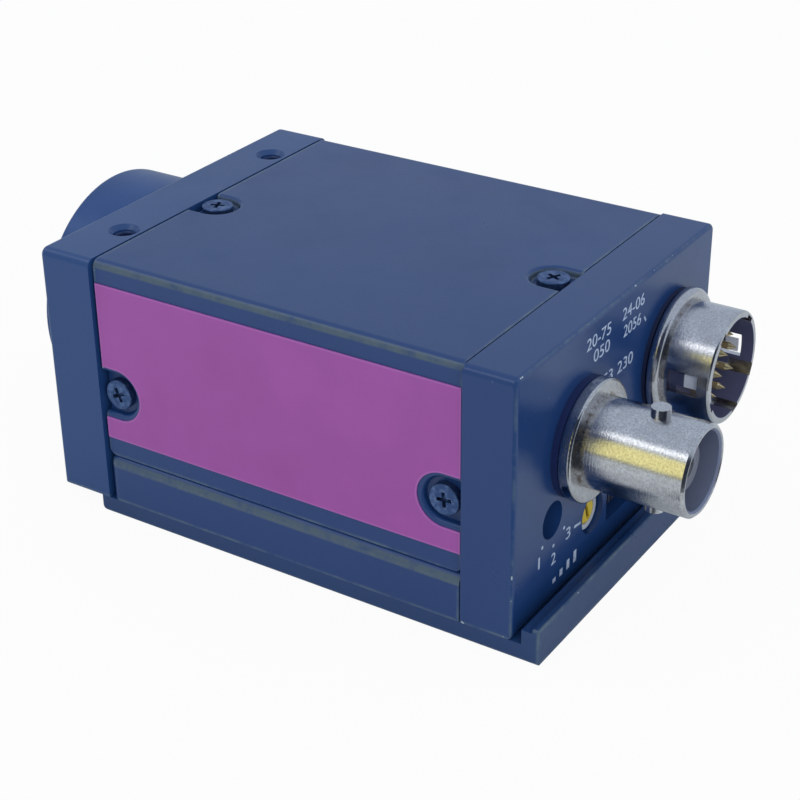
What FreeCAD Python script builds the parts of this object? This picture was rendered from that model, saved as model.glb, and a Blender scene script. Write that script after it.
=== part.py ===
"""Machine vision camera: a block housing with a threaded lens mount in front and two connectors behind.

Frame: millimetres, origin at the middle of the base plate's underside, +Z up, +Y towards the connectors, so the
lens looks along -Y. The labelled side is +X.
"""
import FreeCAD, Part
import Sketcher
import math
import operator
import os

Vector = FreeCAD.Vector
doc = FreeCAD.newDocument("machine_vision_camera")
sheet = doc.addObject("Spreadsheet::Sheet", "sheet")

# Driving sizes, in millimetres and degrees.
SIZES = {
    # housing
    "body_width": 44, "body_height": 29, "body_length": 58.5,
    "front_depth": 6.7, "rear_depth": 5.9, "corner_round": 0.9, "end_round": 0.5,
    "cover_wall": 1.6, "cover_inset": 0.5, "cover_round": 0.9,
    "tray_wall": 1.5, "tray_floor": 1.5, "tray_height": 5.5, "tray_round": 1.2,
    "tray_corner_round": 0.8,
    "front_seam": 0.3, "rear_seam": 0.15, "seat_gap": 0.05, "fit_gap": 0.1,
    "spigot_length": 5.4, "spigot_wall": 1.4, "rear_wall": 2.4,
    # base plate
    "plate_thickness": 2, "plate_overhang": 3.1, "plate_setback": 5.4, "plate_round": 0.6,
    "plate_corner_round": 0.35, "lip_height": 2.15, "lip_wall": 0.75, "lip_round": 0.3, "ledge_width": 1.2,
    "ledge_drop": 0.45,
    "plate_screw_side_inset": 7, "plate_screw_inset": 2.7, "tripod_hole_radius": 2.55,
    "tripod_relief_radius": 3.4,
    # tapped holes in the roof of the front block
    "roof_hole_side_inset": 8.5, "roof_hole_setback": 4.6, "roof_hole_radius": 1.25, "roof_hole_depth": 5,
    "roof_hole_sink": 0.5,
    # cover screws and their pockets
    "screw_shank_radius": 0.95, "tapped_radius": 0.98, "clearance_radius": 1.2,
    "screw_head_radius": 1.75, "screw_head_height": 0.9, "screw_head_round": 0.15, "screw_reach": 2.4,
    "pocket_radius": 2.45, "pocket_rim_round": 0.5, "pocket_floor_round": 0.3, "pocket_depth": 0.9,
    "pocket_inset": 2.25,
    "front_roof_screw_x": 2.5, "rear_roof_screw_x": -0.1, "side_screw_height": 13.4,
    "recess_length": 1.7, "recess_width": 0.42, "recess_depth": 0.5,
    # label
    "label_low": 7.8, "label_high": 26.4, "label_thickness": 0.15, "label_margin": 0.12,
    # lens mount
    "mount_radius": 13.85, "mount_length": 8.5, "mount_edge_round": 0.6, "mount_shank_radius": 12.9,
    "mount_shank_length": 3, "lens_thread_radius": 12.3, "lens_thread_length": 4.4, "mount_throat_radius": 11.2,
    "mount_bevel": 0.3, "mount_bore_depth": 5.2, "shank_gap": 0.05, "front_throat_radius": 10.5,
    "flange_focus": 17.53,
    # filter and sensor
    "filter_radius": 7, "filter_thickness": 1, "filter_aperture": 6, "holder_thickness": 1.7,
    "retainer_radius": 8.6, "retainer_thickness": 0.4,
    "package_width": 16, "package_height": 13, "package_thickness": 2.5, "package_rim": 1.8,
    "die_sink": 1, "die_width": 7.4, "die_height": 5.8, "die_thickness": 0.4, "window_thickness": 0.8,
    "socket_height": 1.2, "board_thickness": 1.2, "sensor_board_side_gap": 1.4,
    "sensor_board_height": 20, "sensor_post_side_inset": 2.4, "sensor_post_edge_inset": 2.2, "post_radius": 1.9,
    # coaxial output
    "coax_side_inset": 13.5, "coax_height": 16.8, "coax_flange_radius": 6.5, "coax_flange_thickness": 1.4,
    "coax_bush_thickness": 0.75, "coax_bush_radius": 6.4, "coax_hole_radius": 5, "coax_neck_radius": 4.6,
    "coax_barrel_radius": 4.83, "coax_reach": 13.4, "coax_bore_radius": 4.1, "coax_bore_depth": 8.6,
    "coax_lug_setback": 4.9, "coax_lug_radius": 1, "coax_lug_height": 0.95, "coax_core_radius": 2.38,
    "coax_core_setback": 1.6, "coax_contact_radius": 1.05, "coax_contact_bore": 0.55, "coax_nut_radius": 6,
    "coax_nut_thickness": 2,
    # 12-pin receptacle
    "multipin_side_inset": 9.7, "multipin_top_inset": 11.7, "multipin_flange_radius": 7.45,
    "multipin_flange_thickness": 1.5, "multipin_gasket_thickness": 0.4, "multipin_radius": 6.25,
    "multipin_reach": 7.3, "multipin_bore_radius": 5.5,
    "multipin_hole_radius": 5, "multipin_neck_radius": 4.9, "multipin_nut_radius": 5.6,
    "multipin_nut_thickness": 2, "multipin_insert_setback": 4, "multipin_window_start": 2.5,
    "multipin_window_length": 3.4, "multipin_window_height": 2.6, "keyway_width": 1.4, "keyway_depth": 0.4,
    "keyway_length": 2.6, "pin_radius": 0.42, "pin_length": 2.9, "pin_point": 0.9, "outer_pin_circle": 3.5,
    "inner_pin_circle": 1.35, "latch_thickness": 0.25, "latch_tongue_width": 1.5, "latch_tongue_length": 2.3,
    # controls
    "rear_board_inset": 7.9, "gain_side_inset": 8, "gain_height": 9.8, "gain_hole_radius": 2.05,
    "gain_neck_radius": 1.9, "gain_rotor_radius": 1.45, "gain_sink": 2, "gain_box": 5.2, "gain_box_depth": 3,
    "trimmer_side_inset": 17, "trimmer_height": 5.9, "trimmer_hole_radius": 2.35, "trimmer_ring_radius": 2.05,
    "trimmer_rotor_radius": 1.45, "trimmer_sink": 0.65, "trimmer_box": 4.2, "trimmer_slot_length": 2.1,
    "driver_slot_width": 0.5,
    "driver_slot_depth": 0.6, "running_gap": 0.05,
    "switch_side_inset": 24.25, "switch_height": 5.2, "switch_window_width": 8, "switch_window_height": 4.2,
    "switch_window_round": 0.4, "switch_body_width": 10, "switch_track_width": 5, "switch_track_height": 1.8,
    "switch_track_depth": 1.6, "switch_knob_width": 2.9, "switch_knob_height": 1.7, "switch_knob_sink": 0.6,
    "switch_travel": 2,
    # boards inside
    "board_side_gap": 0.4, "board_edge_gap": 0.6, "board_end_gap": 0.4, "rear_post_side_inset": 1.8,
    "rear_post_edge_inset": 1.5, "rear_post_radius": 1.75, "main_board_lift": 4.5,
    "upper_board_lift": 10.6, "pillar_side_inset": 3, "pillar_inset": 3.5, "pillar_radius": 2, "pillar_stud": 3,
    "chip_width": 11, "chip_height": 2, "chip_x": 7.5, "capacitor_radius": 2.5, "capacitor_height": 6,
    "capacitor_x": 3.4, "can_width": 10, "can_depth": 4.5, "can_height": 3.5, "coil_width": 8, "coil_height": 4,
    "header_height": 2.5, "header_width": 18, "header_overlap": 3,
}
for row, (alias, number) in enumerate(SIZES.items(), 1):
    sheet.set(f"A{row}", alias)
    sheet.set(f"B{row}", str(number))
    sheet.setAlias(f"B{row}", alias)
doc.recompute()


class Size:
    """A length with the spreadsheet expression that gives it, so both follow from one formula."""

    def __init__(self, value, text):
        self.value = float(value)
        self.text = text

    def __add__(self, other):
        return joined(self, operator.add, "+", other)

    def __radd__(self, other):
        return joined(other, operator.add, "+", self)

    def __sub__(self, other):
        return joined(self, operator.sub, "-", other)

    def __rsub__(self, other):
        return joined(other, operator.sub, "-", self)

    def __mul__(self, other):
        return joined(self, operator.mul, "*", other)

    def __rmul__(self, other):
        return joined(other, operator.mul, "*", self)

    def __truediv__(self, other):
        return joined(self, operator.truediv, "/", other)

    def __neg__(self):
        return joined(0, operator.sub, "-", self)


def as_size(number):
    return number if isinstance(number, Size) else Size(number, f"({number})")


def joined(left, operation, sign, right):
    left = as_size(left)
    right = as_size(right)
    return Size(operation(left.value, right.value), f"({left.text} {sign} {right.text})")


class Cells:
    """Each aliased cell of the sheet as a Size: cell.body_width."""

    def __getattr__(self, alias):
        return Size(sheet.get(alias), f"sheet.{alias}")


cell = Cells()
nodes = []


def bind(item, **sizes):
    """Bind properties to sizes; a double underscore stands for a dot, as in Placement__Base__x."""
    for name, size in sizes.items():
        item.setExpression(name.replace("__", "."), as_size(size).text)


def place(item, x=0, y=0, z=0, axis=None, angle=0):
    """Put an object at bound coordinates, turned by a fixed angle about an axis."""
    if axis:
        item.Placement.Rotation = FreeCAD.Rotation(Vector(*axis), angle)
    bind(item, Placement__Base__x=x, Placement__Base__y=y, Placement__Base__z=z)
    return item


def keep(item, label):
    """Mark an object as one of the camera's pieces."""
    item.Label = label
    nodes.append(item)
    return item


def new_body(name):
    return doc.addObject("PartDesign::Body", name)


def new_sketch(body, name, role, offset):
    """An empty sketch on one of the body's own origin planes, moved along the plane's normal."""
    plane = [feature for feature in body.Origin.OriginFeatures if feature.Role == role][0]
    sketch = body.newObject("Sketcher::SketchObject", name)
    sketch.AttachmentSupport = [(plane, "")]
    sketch.MapMode = "FlatFace"
    bind(sketch, AttachmentOffset__Base__z=offset)
    return sketch


def fix_point(sketch, geometry, point, u, v):
    """Hold one point of a sketch at two bound coordinates."""
    for kind, size in (("DistanceX", as_size(u)), ("DistanceY", as_size(v))):
        number = sketch.addConstraint(Sketcher.Constraint(kind, -1, 1, geometry, point, size.value))
        sketch.renameConstraint(number, f"{kind}{geometry}")
        sketch.setExpression(f"Constraints.{kind}{geometry}", size.text)


def add_outline(sketch, corners):
    """A closed outline of straight edges through corners given as pairs of sizes."""
    first = sketch.GeometryCount
    count = len(corners)
    flat = [Vector(as_size(u).value, as_size(v).value, 0) for u, v in corners]
    for index in range(count):
        sketch.addGeometry(Part.LineSegment(flat[index], flat[(index + 1) % count]), False)
    for index in range(count):
        follower = first + (index + 1) % count
        sketch.addConstraint(Sketcher.Constraint("Coincident", first + index, 2, follower, 1))
        fix_point(sketch, first + index, 1, *corners[index])


def add_circle(sketch, u, v, radius):
    radius = as_size(radius)
    centre = Vector(as_size(u).value, as_size(v).value, 0)
    index = sketch.addGeometry(Part.Circle(centre, Vector(0, 0, 1), radius.value), False)
    number = sketch.addConstraint(Sketcher.Constraint("Radius", index, radius.value))
    sketch.renameConstraint(number, f"Radius{index}")
    sketch.setExpression(f"Constraints.Radius{index}", radius.text)
    fix_point(sketch, index, 3, u, v)


def rectangle(left, right, low, high):
    return [(left, low), (right, low), (right, high), (left, high)]


def outline_sketch(body, name, role, offset, *outlines):
    sketch = new_sketch(body, name, role, offset)
    for corners in outlines:
        add_outline(sketch, corners)
    return sketch


def circle_sketch(body, name, role, offset, *circles):
    sketch = new_sketch(body, name, role, offset)
    for u, v, radius in circles:
        add_circle(sketch, u, v, radius)
    return sketch


def pad(body, name, sketch, length, reverse=False):
    feature = body.newObject("PartDesign::Pad", name)
    feature.Profile = sketch
    feature.Reversed = reverse
    bind(feature, Length=length)
    doc.recompute()
    return feature


def pocket(body, name, sketch, length, reverse=False):
    """Cut a profile into the body, and make sure that it really takes material away."""
    before = body.Shape.Volume
    feature = body.newObject("PartDesign::Pocket", name)
    feature.Profile = sketch
    feature.Reversed = reverse
    bind(feature, Length=length)
    doc.recompute()
    if not body.Shape.Volume < before:
        raise RuntimeError(f"{body.Name}.{name} cuts nothing")
    return feature


def flat_edges(shape, radius=None, tolerance=0.002, **spans):
    """Names of the edges that lie within the given x, y and z values or (low, high) spans.

    With a radius, only arcs and circles of that radius count.
    """
    names = []
    for number, edge in enumerate(shape.Edges, 1):
        if edge.Degenerated:
            continue
        box = edge.BoundBox
        inside = True
        if radius is not None:
            inside = abs(getattr(edge.Curve, "Radius", 0) - as_size(radius).value) < tolerance
        for axis, span in spans.items():
            low, high = span if isinstance(span, tuple) else (span, span)
            edge_low = getattr(box, axis.upper() + "Min")
            edge_high = getattr(box, axis.upper() + "Max")
            inside = inside and edge_low > as_size(low).value - tolerance
            inside = inside and edge_high < as_size(high).value + tolerance
        if inside:
            names.append(f"Edge{number}")
    return names


def dress(body, kind, name, size, *places):
    """A fillet or chamfer on the edges of the body's tip that lie at the given places."""
    base = body.Tip
    names = sorted({edge for spans in places for edge in flat_edges(base.Shape, **spans)})
    feature = body.newObject(f"PartDesign::{kind}", name)
    feature.Base = (base, names)
    if kind == "Fillet":
        bind(feature, Radius=size)
    else:
        bind(feature, Size=size)
    doc.recompute()
    return feature


def turned(name, profile, role="XY_Plane"):
    """A turned body: the profile's pairs are (radius, distance along the axis); the axis is local Y or Z."""
    body = new_body(name)
    sketch = outline_sketch(body, f"{name}_profile", role, 0, profile)
    feature = body.newObject("PartDesign::Revolution", f"{name}_turned")
    feature.Profile = sketch
    feature.ReferenceAxis = (sketch, ["V_Axis"])
    feature.Angle = 360
    doc.recompute()
    return body


def tube(inner, outer, start, end):
    """Profile of a plain ring for turned()."""
    return rectangle(inner, outer, start, end)


def box(name, left, right, front, rear, low, high):
    """A plain block between bound coordinates."""
    item = doc.addObject("Part::Box", name)
    bind(item, Length=right - left, Width=rear - front, Height=high - low)
    return place(item, left, front, low)


def peg(name, radius, length, x, y, z, axis=None, angle=0):
    """A plain cylinder, along +Z before it is turned."""
    item = doc.addObject("Part::Cylinder", name)
    bind(item, Radius=radius, Height=length)
    return place(item, x, y, z, axis, angle)


def bored(name, solid, *tools):
    """A solid with holes cut by the given tools."""
    cutter = tools[0]
    if len(tools) > 1:
        cutter = doc.addObject("Part::MultiFuse", f"{name}_tools")
        cutter.Shapes = list(tools)
    item = doc.addObject("Part::Cut", name)
    item.Base = solid
    item.Tool = cutter
    return item


def group(label, items):
    """Identical or like pieces that share one node as separate solids."""
    item = doc.addObject("Part::Compound", label)
    item.Links = items
    return keep(item, label)


# Turns that send local +Z along another axis.
TO_RIGHT = ((0, 1, 0), 90)
TO_LEFT = ((0, 1, 0), -90)
TO_REAR = ((1, 0, 0), -90)
TO_FRONT = ((1, 0, 0), 90)
TO_FLOOR = ((1, 0, 0), 180)

# Places that several pieces share.
y_plate_end = (cell.body_length - cell.plate_setback + cell.plate_overhang) / 2
y_front = -y_plate_end - cell.plate_setback
y_rear = y_front + cell.body_length
y_front_seam = y_front + cell.front_depth
y_rear_seam = y_rear - cell.rear_depth
y_cover_front = y_front_seam + cell.front_seam
y_cover_rear = y_rear_seam - cell.rear_seam
y_panel = y_rear - cell.rear_wall
z_base = cell.plate_thickness
z_top = z_base + cell.body_height
z_axis = z_base + cell.body_height / 2
x_side = cell.body_width / 2
x_cover = x_side - cell.cover_inset
x_cover_inner = x_cover - cell.cover_wall
z_cover_inner = z_top - cell.cover_wall
x_spigot = x_cover_inner - cell.fit_gap
z_spigot_top = z_cover_inner - cell.fit_gap
z_spigot_low = z_base + cell.tray_floor + cell.fit_gap
x_hollow = x_spigot - cell.spigot_wall
z_hollow_top = z_spigot_top - cell.spigot_wall
z_hollow_low = z_spigot_low + cell.spigot_wall
z_tray_top = z_base + cell.tray_height
z_tray_floor = z_base + cell.tray_floor
z_side_screw = z_base + cell.side_screw_height
y_front_screw = y_front_seam + cell.pocket_inset
y_rear_screw = y_rear_seam - cell.pocket_inset
y_plate_front_screw = y_front_seam + cell.plate_screw_inset
y_plate_rear_screw = y_rear_seam - cell.plate_screw_inset
x_plate_screw = x_side - cell.plate_screw_side_inset
x_roof_hole = x_side - cell.roof_hole_side_inset
x_coax = x_side - cell.coax_side_inset
x_multipin = cell.multipin_side_inset - x_side
z_multipin = z_top - cell.multipin_top_inset
x_gain = x_side - cell.gain_side_inset
x_trimmer = x_side - cell.trimmer_side_inset
x_switch = x_side - cell.switch_side_inset
# The sensor's stack starts from the lens mount's focus, and the boards fit between it and the rear board.
y_image = y_front - cell.mount_length + cell.flange_focus
y_package = y_image - cell.die_sink + cell.die_thickness
y_package_back = y_package + cell.package_thickness
y_sensor_board = y_package_back + cell.socket_height
y_sensor_board_back = y_sensor_board + cell.board_thickness
x_sensor_board = x_hollow - cell.sensor_board_side_gap
x_sensor_post = x_sensor_board - cell.sensor_post_side_inset
sensor_post_rise = cell.sensor_board_height / 2 - cell.sensor_post_edge_inset
x_board = x_hollow - cell.board_side_gap
y_rear_board_back = y_rear - cell.rear_board_inset
y_rear_board = y_rear_board_back - cell.board_thickness
z_rear_board_low = z_hollow_low + cell.board_edge_gap
z_rear_board_top = z_hollow_top - cell.board_edge_gap
x_rear_post = x_board - cell.rear_post_side_inset
z_rear_post_low = z_rear_board_low + cell.rear_post_edge_inset
z_rear_post_top = z_rear_board_top - cell.rear_post_edge_inset
y_board_start = y_sensor_board_back + cell.screw_head_height + cell.board_end_gap
y_board_end = y_rear_board - cell.screw_head_height - cell.board_end_gap


def end_block(name, y_outer, y_seam, y_spigot, sign):
    """A cast end block: a slab with a rounded top and end and, under the cover, a rectangular spigot ring.

    sign is +1 where the spigot runs along +Y from the slab, and -1 where it runs along -Y.
    """
    body = new_body(name)
    slab = outline_sketch(body, f"{name}_slab", "XZ_Plane", -y_outer, rectangle(-x_side, x_side, z_base, z_top))
    pad(body, f"{name}_slab_pad", slab, (y_seam - y_outer) * sign, reverse=sign > 0)
    dress(body, "Fillet", f"{name}_top_edges", cell.corner_round,
          *[{"x": x, "z": z_top} for x in (x_side, -x_side)])
    dress(body, "Fillet", f"{name}_end_edges", cell.end_round, {"y": y_outer})
    ring = outline_sketch(
        body, f"{name}_ring", "XZ_Plane", -y_seam,
        rectangle(-x_spigot, x_spigot, z_spigot_low, z_spigot_top),
        rectangle(-x_hollow, x_hollow, z_hollow_low, z_hollow_top))
    pad(body, f"{name}_spigot", ring, (y_spigot - y_seam) * sign, reverse=sign > 0)
    return body


def spigot_holes(body, y_side_screw, roof_x, y_plate_screw):
    """Tapped holes for the cover's roof and side screws and for the base plate's screws."""
    roof = circle_sketch(body, f"{body.Name}_roof_tap", "XY_Plane", z_spigot_top,
                         (roof_x, y_side_screw, cell.tapped_radius))
    pocket(body, f"{body.Name}_roof_tapped", roof, cell.spigot_wall)
    for side, x_face, turn in (("right", x_spigot, False), ("left", -x_spigot, True)):
        wall = circle_sketch(body, f"{body.Name}_{side}_tap", "YZ_Plane", x_face,
                             (y_side_screw, z_side_screw, cell.tapped_radius))
        pocket(body, f"{body.Name}_{side}_tapped", wall, cell.spigot_wall, reverse=turn)
    floor = circle_sketch(body, f"{body.Name}_floor_tap", "XY_Plane", z_hollow_low,
                          (x_plate_screw, y_plate_screw, cell.tapped_radius),
                          (-x_plate_screw, y_plate_screw, cell.tapped_radius))
    pocket(body, f"{body.Name}_floor_tapped", floor, cell.spigot_wall)


def make_front_block():
    body = end_block("front_block", y_front, y_front_seam, y_front_seam + cell.spigot_length, 1)
    spigot_holes(body, y_front_screw, cell.front_roof_screw_x, y_plate_front_screw)
    seat = circle_sketch(body, "mount_bore", "XZ_Plane", -y_front,
                         (0, z_axis, cell.mount_shank_radius + cell.shank_gap))
    pocket(body, "mount_bore_cut", seat, cell.mount_bore_depth)
    throat = circle_sketch(body, "throat", "XZ_Plane", -y_front, (0, z_axis, cell.front_throat_radius))
    pocket(body, "throat_cut", throat, cell.front_depth)
    roof = circle_sketch(body, "roof_taps", "XY_Plane", z_top,
                         *[(x, y_front + cell.roof_hole_setback, cell.roof_hole_radius)
                           for x in (x_roof_hole, -x_roof_hole)])
    pocket(body, "roof_taps_cut", roof, cell.roof_hole_depth)
    dress(body, "Chamfer", "roof_sinks", cell.roof_hole_sink, {"radius": cell.roof_hole_radius, "z": z_top})
    posts = circle_sketch(body, "sensor_post_taps", "XZ_Plane", -y_front_seam,
                          *[(x, z_axis + z, cell.tapped_radius) for x in (x_sensor_post, -x_sensor_post)
                            for z in (sensor_post_rise, -sensor_post_rise)])
    pocket(body, "sensor_post_taps_cut", posts, cell.screw_reach, reverse=True)
    keep(body, "front_block")


def make_rear_block():
    body = end_block("rear_block", y_rear, y_rear_seam, y_rear_seam - cell.spigot_length, -1)
    spigot_holes(body, y_rear_screw, cell.rear_roof_screw_x, y_plate_rear_screw)
    hollow = outline_sketch(body, "hollow", "XZ_Plane", -y_rear_seam,
                            rectangle(-x_hollow, x_hollow, z_hollow_low, z_hollow_top))
    pocket(body, "hollow_cut", hollow, y_panel - y_rear_seam)
    round_holes = circle_sketch(
        body, "round_holes", "XZ_Plane", -y_rear,
        (x_coax, z_base + cell.coax_height, cell.coax_hole_radius),
        (x_multipin, z_multipin, cell.multipin_hole_radius),
        (x_gain, z_base + cell.gain_height, cell.gain_hole_radius),
        (x_trimmer, z_base + cell.trimmer_height, cell.trimmer_hole_radius))
    pocket(body, "round_holes_cut", round_holes, cell.rear_wall, reverse=True)
    left = x_switch - cell.switch_window_width / 2
    right = x_switch + cell.switch_window_width / 2
    low = z_base + cell.switch_height - cell.switch_window_height / 2
    high = z_base + cell.switch_height + cell.switch_window_height / 2
    window = outline_sketch(body, "switch_window", "XZ_Plane", -y_rear, rectangle(left, right, low, high))
    pocket(body, "switch_window_cut", window, cell.rear_wall, reverse=True)
    dress(body, "Fillet", "switch_window_corners", cell.switch_window_round,
          *[{"x": x, "z": z, "y": (y_panel, y_rear)} for x in (left, right) for z in (low, high)])
    posts = circle_sketch(body, "rear_post_taps", "XZ_Plane", -y_panel,
                          *[(x, z, cell.tapped_radius) for x in (x_rear_post, -x_rear_post)
                            for z in (z_rear_post_low, z_rear_post_top)])
    pocket(body, "rear_post_taps_cut", posts, cell.rear_wall * 0.6)
    keep(body, "rear_block")


def screw_slots(body, name, role, face, radius, depth, slots, turn=False):
    """Sink slots from a face: each is a circle at (u, v) and the rectangle that opens it to a seam."""
    ends = circle_sketch(body, f"{name}_ends", role, face, *[(u, v, radius) for u, v, _ in slots])
    pocket(body, f"{name}_ends_cut", ends, depth, reverse=turn)
    mouths = outline_sketch(body, f"{name}_mouths", role, face, *[mouth for _, _, mouth in slots])
    pocket(body, f"{name}_mouths_cut", mouths, depth, reverse=turn)


def side_slots(radius):
    """The two slots of a side face in a YZ sketch, for screw_slots()."""
    low = z_side_screw - radius
    high = z_side_screw + radius
    return [(y_front_screw, z_side_screw, rectangle(y_front_seam, y_front_screw, low, high)),
            (y_rear_screw, z_side_screw, rectangle(y_rear_screw, y_rear_seam, low, high))]


def round_slots(body, name, axis, rim, floor, across, middles):
    """Round the rims and floors of the front and rear slots of a face that axis is square to.

    rim and floor are the two levels along that axis; middles are the slots' places along the axis across.
    """
    radius = cell.pocket_radius
    spans = ((y_cover_front, y_front_screw), (y_rear_screw, y_cover_rear))
    for part, level, size in (("rims", rim, cell.pocket_rim_round), ("floors", floor, cell.pocket_floor_round)):
        edges = [{"radius": radius, axis: level}]
        edges += [{across: middle + radius * side, axis: level, "y": span}
                  for middle, span in zip(middles, spans) for side in (1, -1)]
        dress(body, "Fillet", f"{name}_{part}", size, *edges)


def make_top_cover():
    """An inverted U with slots for the screw heads, open to the seams at both ends."""
    body = new_body("top_cover")
    low = z_tray_top + cell.seat_gap
    shape = [(-x_cover, low), (-x_cover_inner, low), (-x_cover_inner, z_cover_inner),
             (x_cover_inner, z_cover_inner), (x_cover_inner, low), (x_cover, low), (x_cover, z_top),
             (-x_cover, z_top)]
    profile = outline_sketch(body, "cover_profile", "XZ_Plane", -y_cover_front, shape)
    pad(body, "cover_pad", profile, y_cover_rear - y_cover_front, reverse=True)
    dress(body, "Fillet", "cover_top_edges", cell.cover_round,
          *[{"x": x, "z": z_top, "y": (y_cover_front, y_cover_rear)} for x in (x_cover, -x_cover)])
    dress(body, "Fillet", "cover_low_corners", cell.cover_round,
          *[{"y": y, "z": low, "x": span} for y in (y_cover_front, y_cover_rear)
            for span in ((x_cover_inner, x_cover), (-x_cover, -x_cover_inner))])
    radius = cell.pocket_radius
    depth = cell.pocket_depth
    front_x = cell.front_roof_screw_x
    rear_x = cell.rear_roof_screw_x
    screw_slots(body, "roof_slots", "XY_Plane", z_top, radius, depth, [
        (front_x, y_front_screw, rectangle(front_x - radius, front_x + radius, y_front_seam, y_front_screw)),
        (rear_x, y_rear_screw, rectangle(rear_x - radius, rear_x + radius, y_rear_screw, y_rear_seam))])
    round_slots(body, "roof_slots", "z", z_top, z_top - depth, "x", (front_x, rear_x))
    holes = circle_sketch(body, "roof_holes", "XY_Plane", z_top,
                          (front_x, y_front_screw, cell.clearance_radius),
                          (rear_x, y_rear_screw, cell.clearance_radius))
    pocket(body, "roof_holes_cut", holes, cell.cover_wall)
    for side, x_face, inward, turn in (("right", x_cover, -1, False), ("left", -x_cover, 1, True)):
        screw_slots(body, f"{side}_slots", "YZ_Plane", x_face, radius, depth, side_slots(radius), turn)
        round_slots(body, f"{side}_slots", "x", x_face, x_face + depth * inward, "z", (z_side_screw, z_side_screw))
        holes = circle_sketch(body, f"{side}_holes", "YZ_Plane", x_face,
                              (y_front_screw, z_side_screw, cell.clearance_radius),
                              (y_rear_screw, z_side_screw, cell.clearance_radius))
        pocket(body, f"{side}_holes_cut", holes, cell.cover_wall, reverse=turn)
    keep(body, "top_cover")


def make_lower_tray():
    """A U-shaped tray whose side walls stand proud of the cover and roll over at the top."""
    body = new_body("lower_tray")
    x_inner = x_side - cell.tray_wall
    shape = [(-x_side, z_base), (x_side, z_base), (x_side, z_tray_top), (x_inner, z_tray_top),
             (x_inner, z_tray_floor), (-x_inner, z_tray_floor), (-x_inner, z_tray_top), (-x_side, z_tray_top)]
    profile = outline_sketch(body, "tray_profile", "XZ_Plane", -y_cover_front, shape)
    pad(body, "tray_pad", profile, y_cover_rear - y_cover_front, reverse=True)
    walls = ((x_inner, x_side), (-x_side, -x_inner))
    dress(body, "Fillet", "tray_end_corners", cell.tray_corner_round,
          *[{"y": y_cover_front, "z": z_tray_top, "x": span} for span in walls])
    dress(body, "Fillet", "tray_top_edges", cell.tray_round,
          *[{"x": x, "z": z_tray_top, "y": (y_cover_front, y_cover_rear)} for x in (x_side, -x_side)])
    holes = circle_sketch(body, "tray_holes", "XY_Plane", z_tray_floor,
                          *[(x, y, cell.clearance_radius) for x in (x_plate_screw, -x_plate_screw)
                            for y in (y_plate_front_screw, y_plate_rear_screw)],
                          (0, 0, cell.tripod_relief_radius))
    pocket(body, "tray_holes_cut", holes, cell.tray_floor)
    keep(body, "lower_tray")


def make_base_plate():
    """A flat plate whose rear end stands up as a lip: a ledge behind the rear face, then a thin wall."""
    body = new_body("base_plate")
    y_end = y_plate_end
    y_wall = y_end - cell.lip_wall
    y_ledge = y_wall - cell.ledge_width
    z_lip = z_base + cell.lip_height
    z_ledge = z_lip - cell.ledge_drop
    shape = [(-y_end, 0), (y_end, 0), (y_end, z_lip), (y_wall, z_lip), (y_wall, z_ledge), (y_ledge, z_ledge),
             (y_ledge, z_base), (-y_end, z_base)]
    profile = outline_sketch(body, "plate_profile", "YZ_Plane", -x_side, shape)
    pad(body, "plate_pad", profile, cell.body_width)
    dress(body, "Fillet", "plate_front_edge", cell.plate_round, {"y": -y_end, "z": 0})
    dress(body, "Fillet", "plate_corners", cell.plate_corner_round,
          *[{"x": x, "y": y, "z": (0, z_lip)} for x in (x_side, -x_side) for y in (y_end, -y_end)])
    dress(body, "Fillet", "lip_edge", cell.lip_round, {"y": y_end, "z": z_lip})
    taps = circle_sketch(body, "plate_holes", "XY_Plane", z_base,
                         *[(x, y, cell.clearance_radius) for x in (x_plate_screw, -x_plate_screw)
                           for y in (y_plate_front_screw, y_plate_rear_screw)],
                         (0, 0, cell.tripod_hole_radius))
    pocket(body, "plate_holes_cut", taps, cell.plate_thickness)
    dress(body, "Chamfer", "plate_sinks", cell.screw_head_radius - cell.clearance_radius + cell.fit_gap,
          {"radius": cell.clearance_radius, "z": 0})
    keep(body, "base_plate")


def make_side_label():
    body = new_body("side_label")
    front = y_cover_front + cell.label_margin
    rear = y_cover_rear - cell.label_margin
    sheet_outline = rectangle(front, rear, z_base + cell.label_low, z_base + cell.label_high)
    profile = outline_sketch(body, "label_outline", "YZ_Plane", x_cover, sheet_outline)
    pad(body, "label_pad", profile, cell.label_thickness)
    radius = cell.pocket_radius + cell.pocket_rim_round + cell.label_margin
    screw_slots(body, "label_slots", "YZ_Plane", x_cover + cell.label_thickness, radius, cell.label_thickness,
                side_slots(radius))
    keep(body, "side_label")


def cross_outline(length, width, twist=0):
    """The twelve corners of a cross with equal arms, turned by twist degrees."""
    far = length / 2
    near = width / 2
    corners = [(near, near), (near, far), (-near, far), (-near, near), (-far, near), (-far, -near),
               (-near, -near), (-near, -far), (near, -far), (near, -near), (far, -near), (far, near)]
    along = math.cos(math.radians(twist))
    across = math.sin(math.radians(twist))
    return [(u * along - v * across, u * across + v * along) for u, v in corners]


def pan_screw(name, reach, x, y, z, turn=(None, 0), twist=0):
    """A cross-recessed pan screw, seated at its local origin with the shank along local -Z.

    twist is how far its recess has stopped from square when it was driven home, in degrees.
    """
    height = cell.screw_head_height
    shank = cell.screw_shank_radius
    head = cell.screw_head_radius
    body = turned(name, [(0, -reach), (shank, -reach), (shank, 0), (head, 0), (head, height), (0, height)],
                  "XZ_Plane")
    dress(body, "Fillet", f"{name}_crown", cell.screw_head_round, {"z": height})
    recess = outline_sketch(body, f"{name}_cross", "XY_Plane", height,
                            cross_outline(cell.recess_length, cell.recess_width, twist))
    pocket(body, f"{name}_cross_cut", recess, cell.recess_depth)
    return place(body, x, y, z, *turn)


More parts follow.
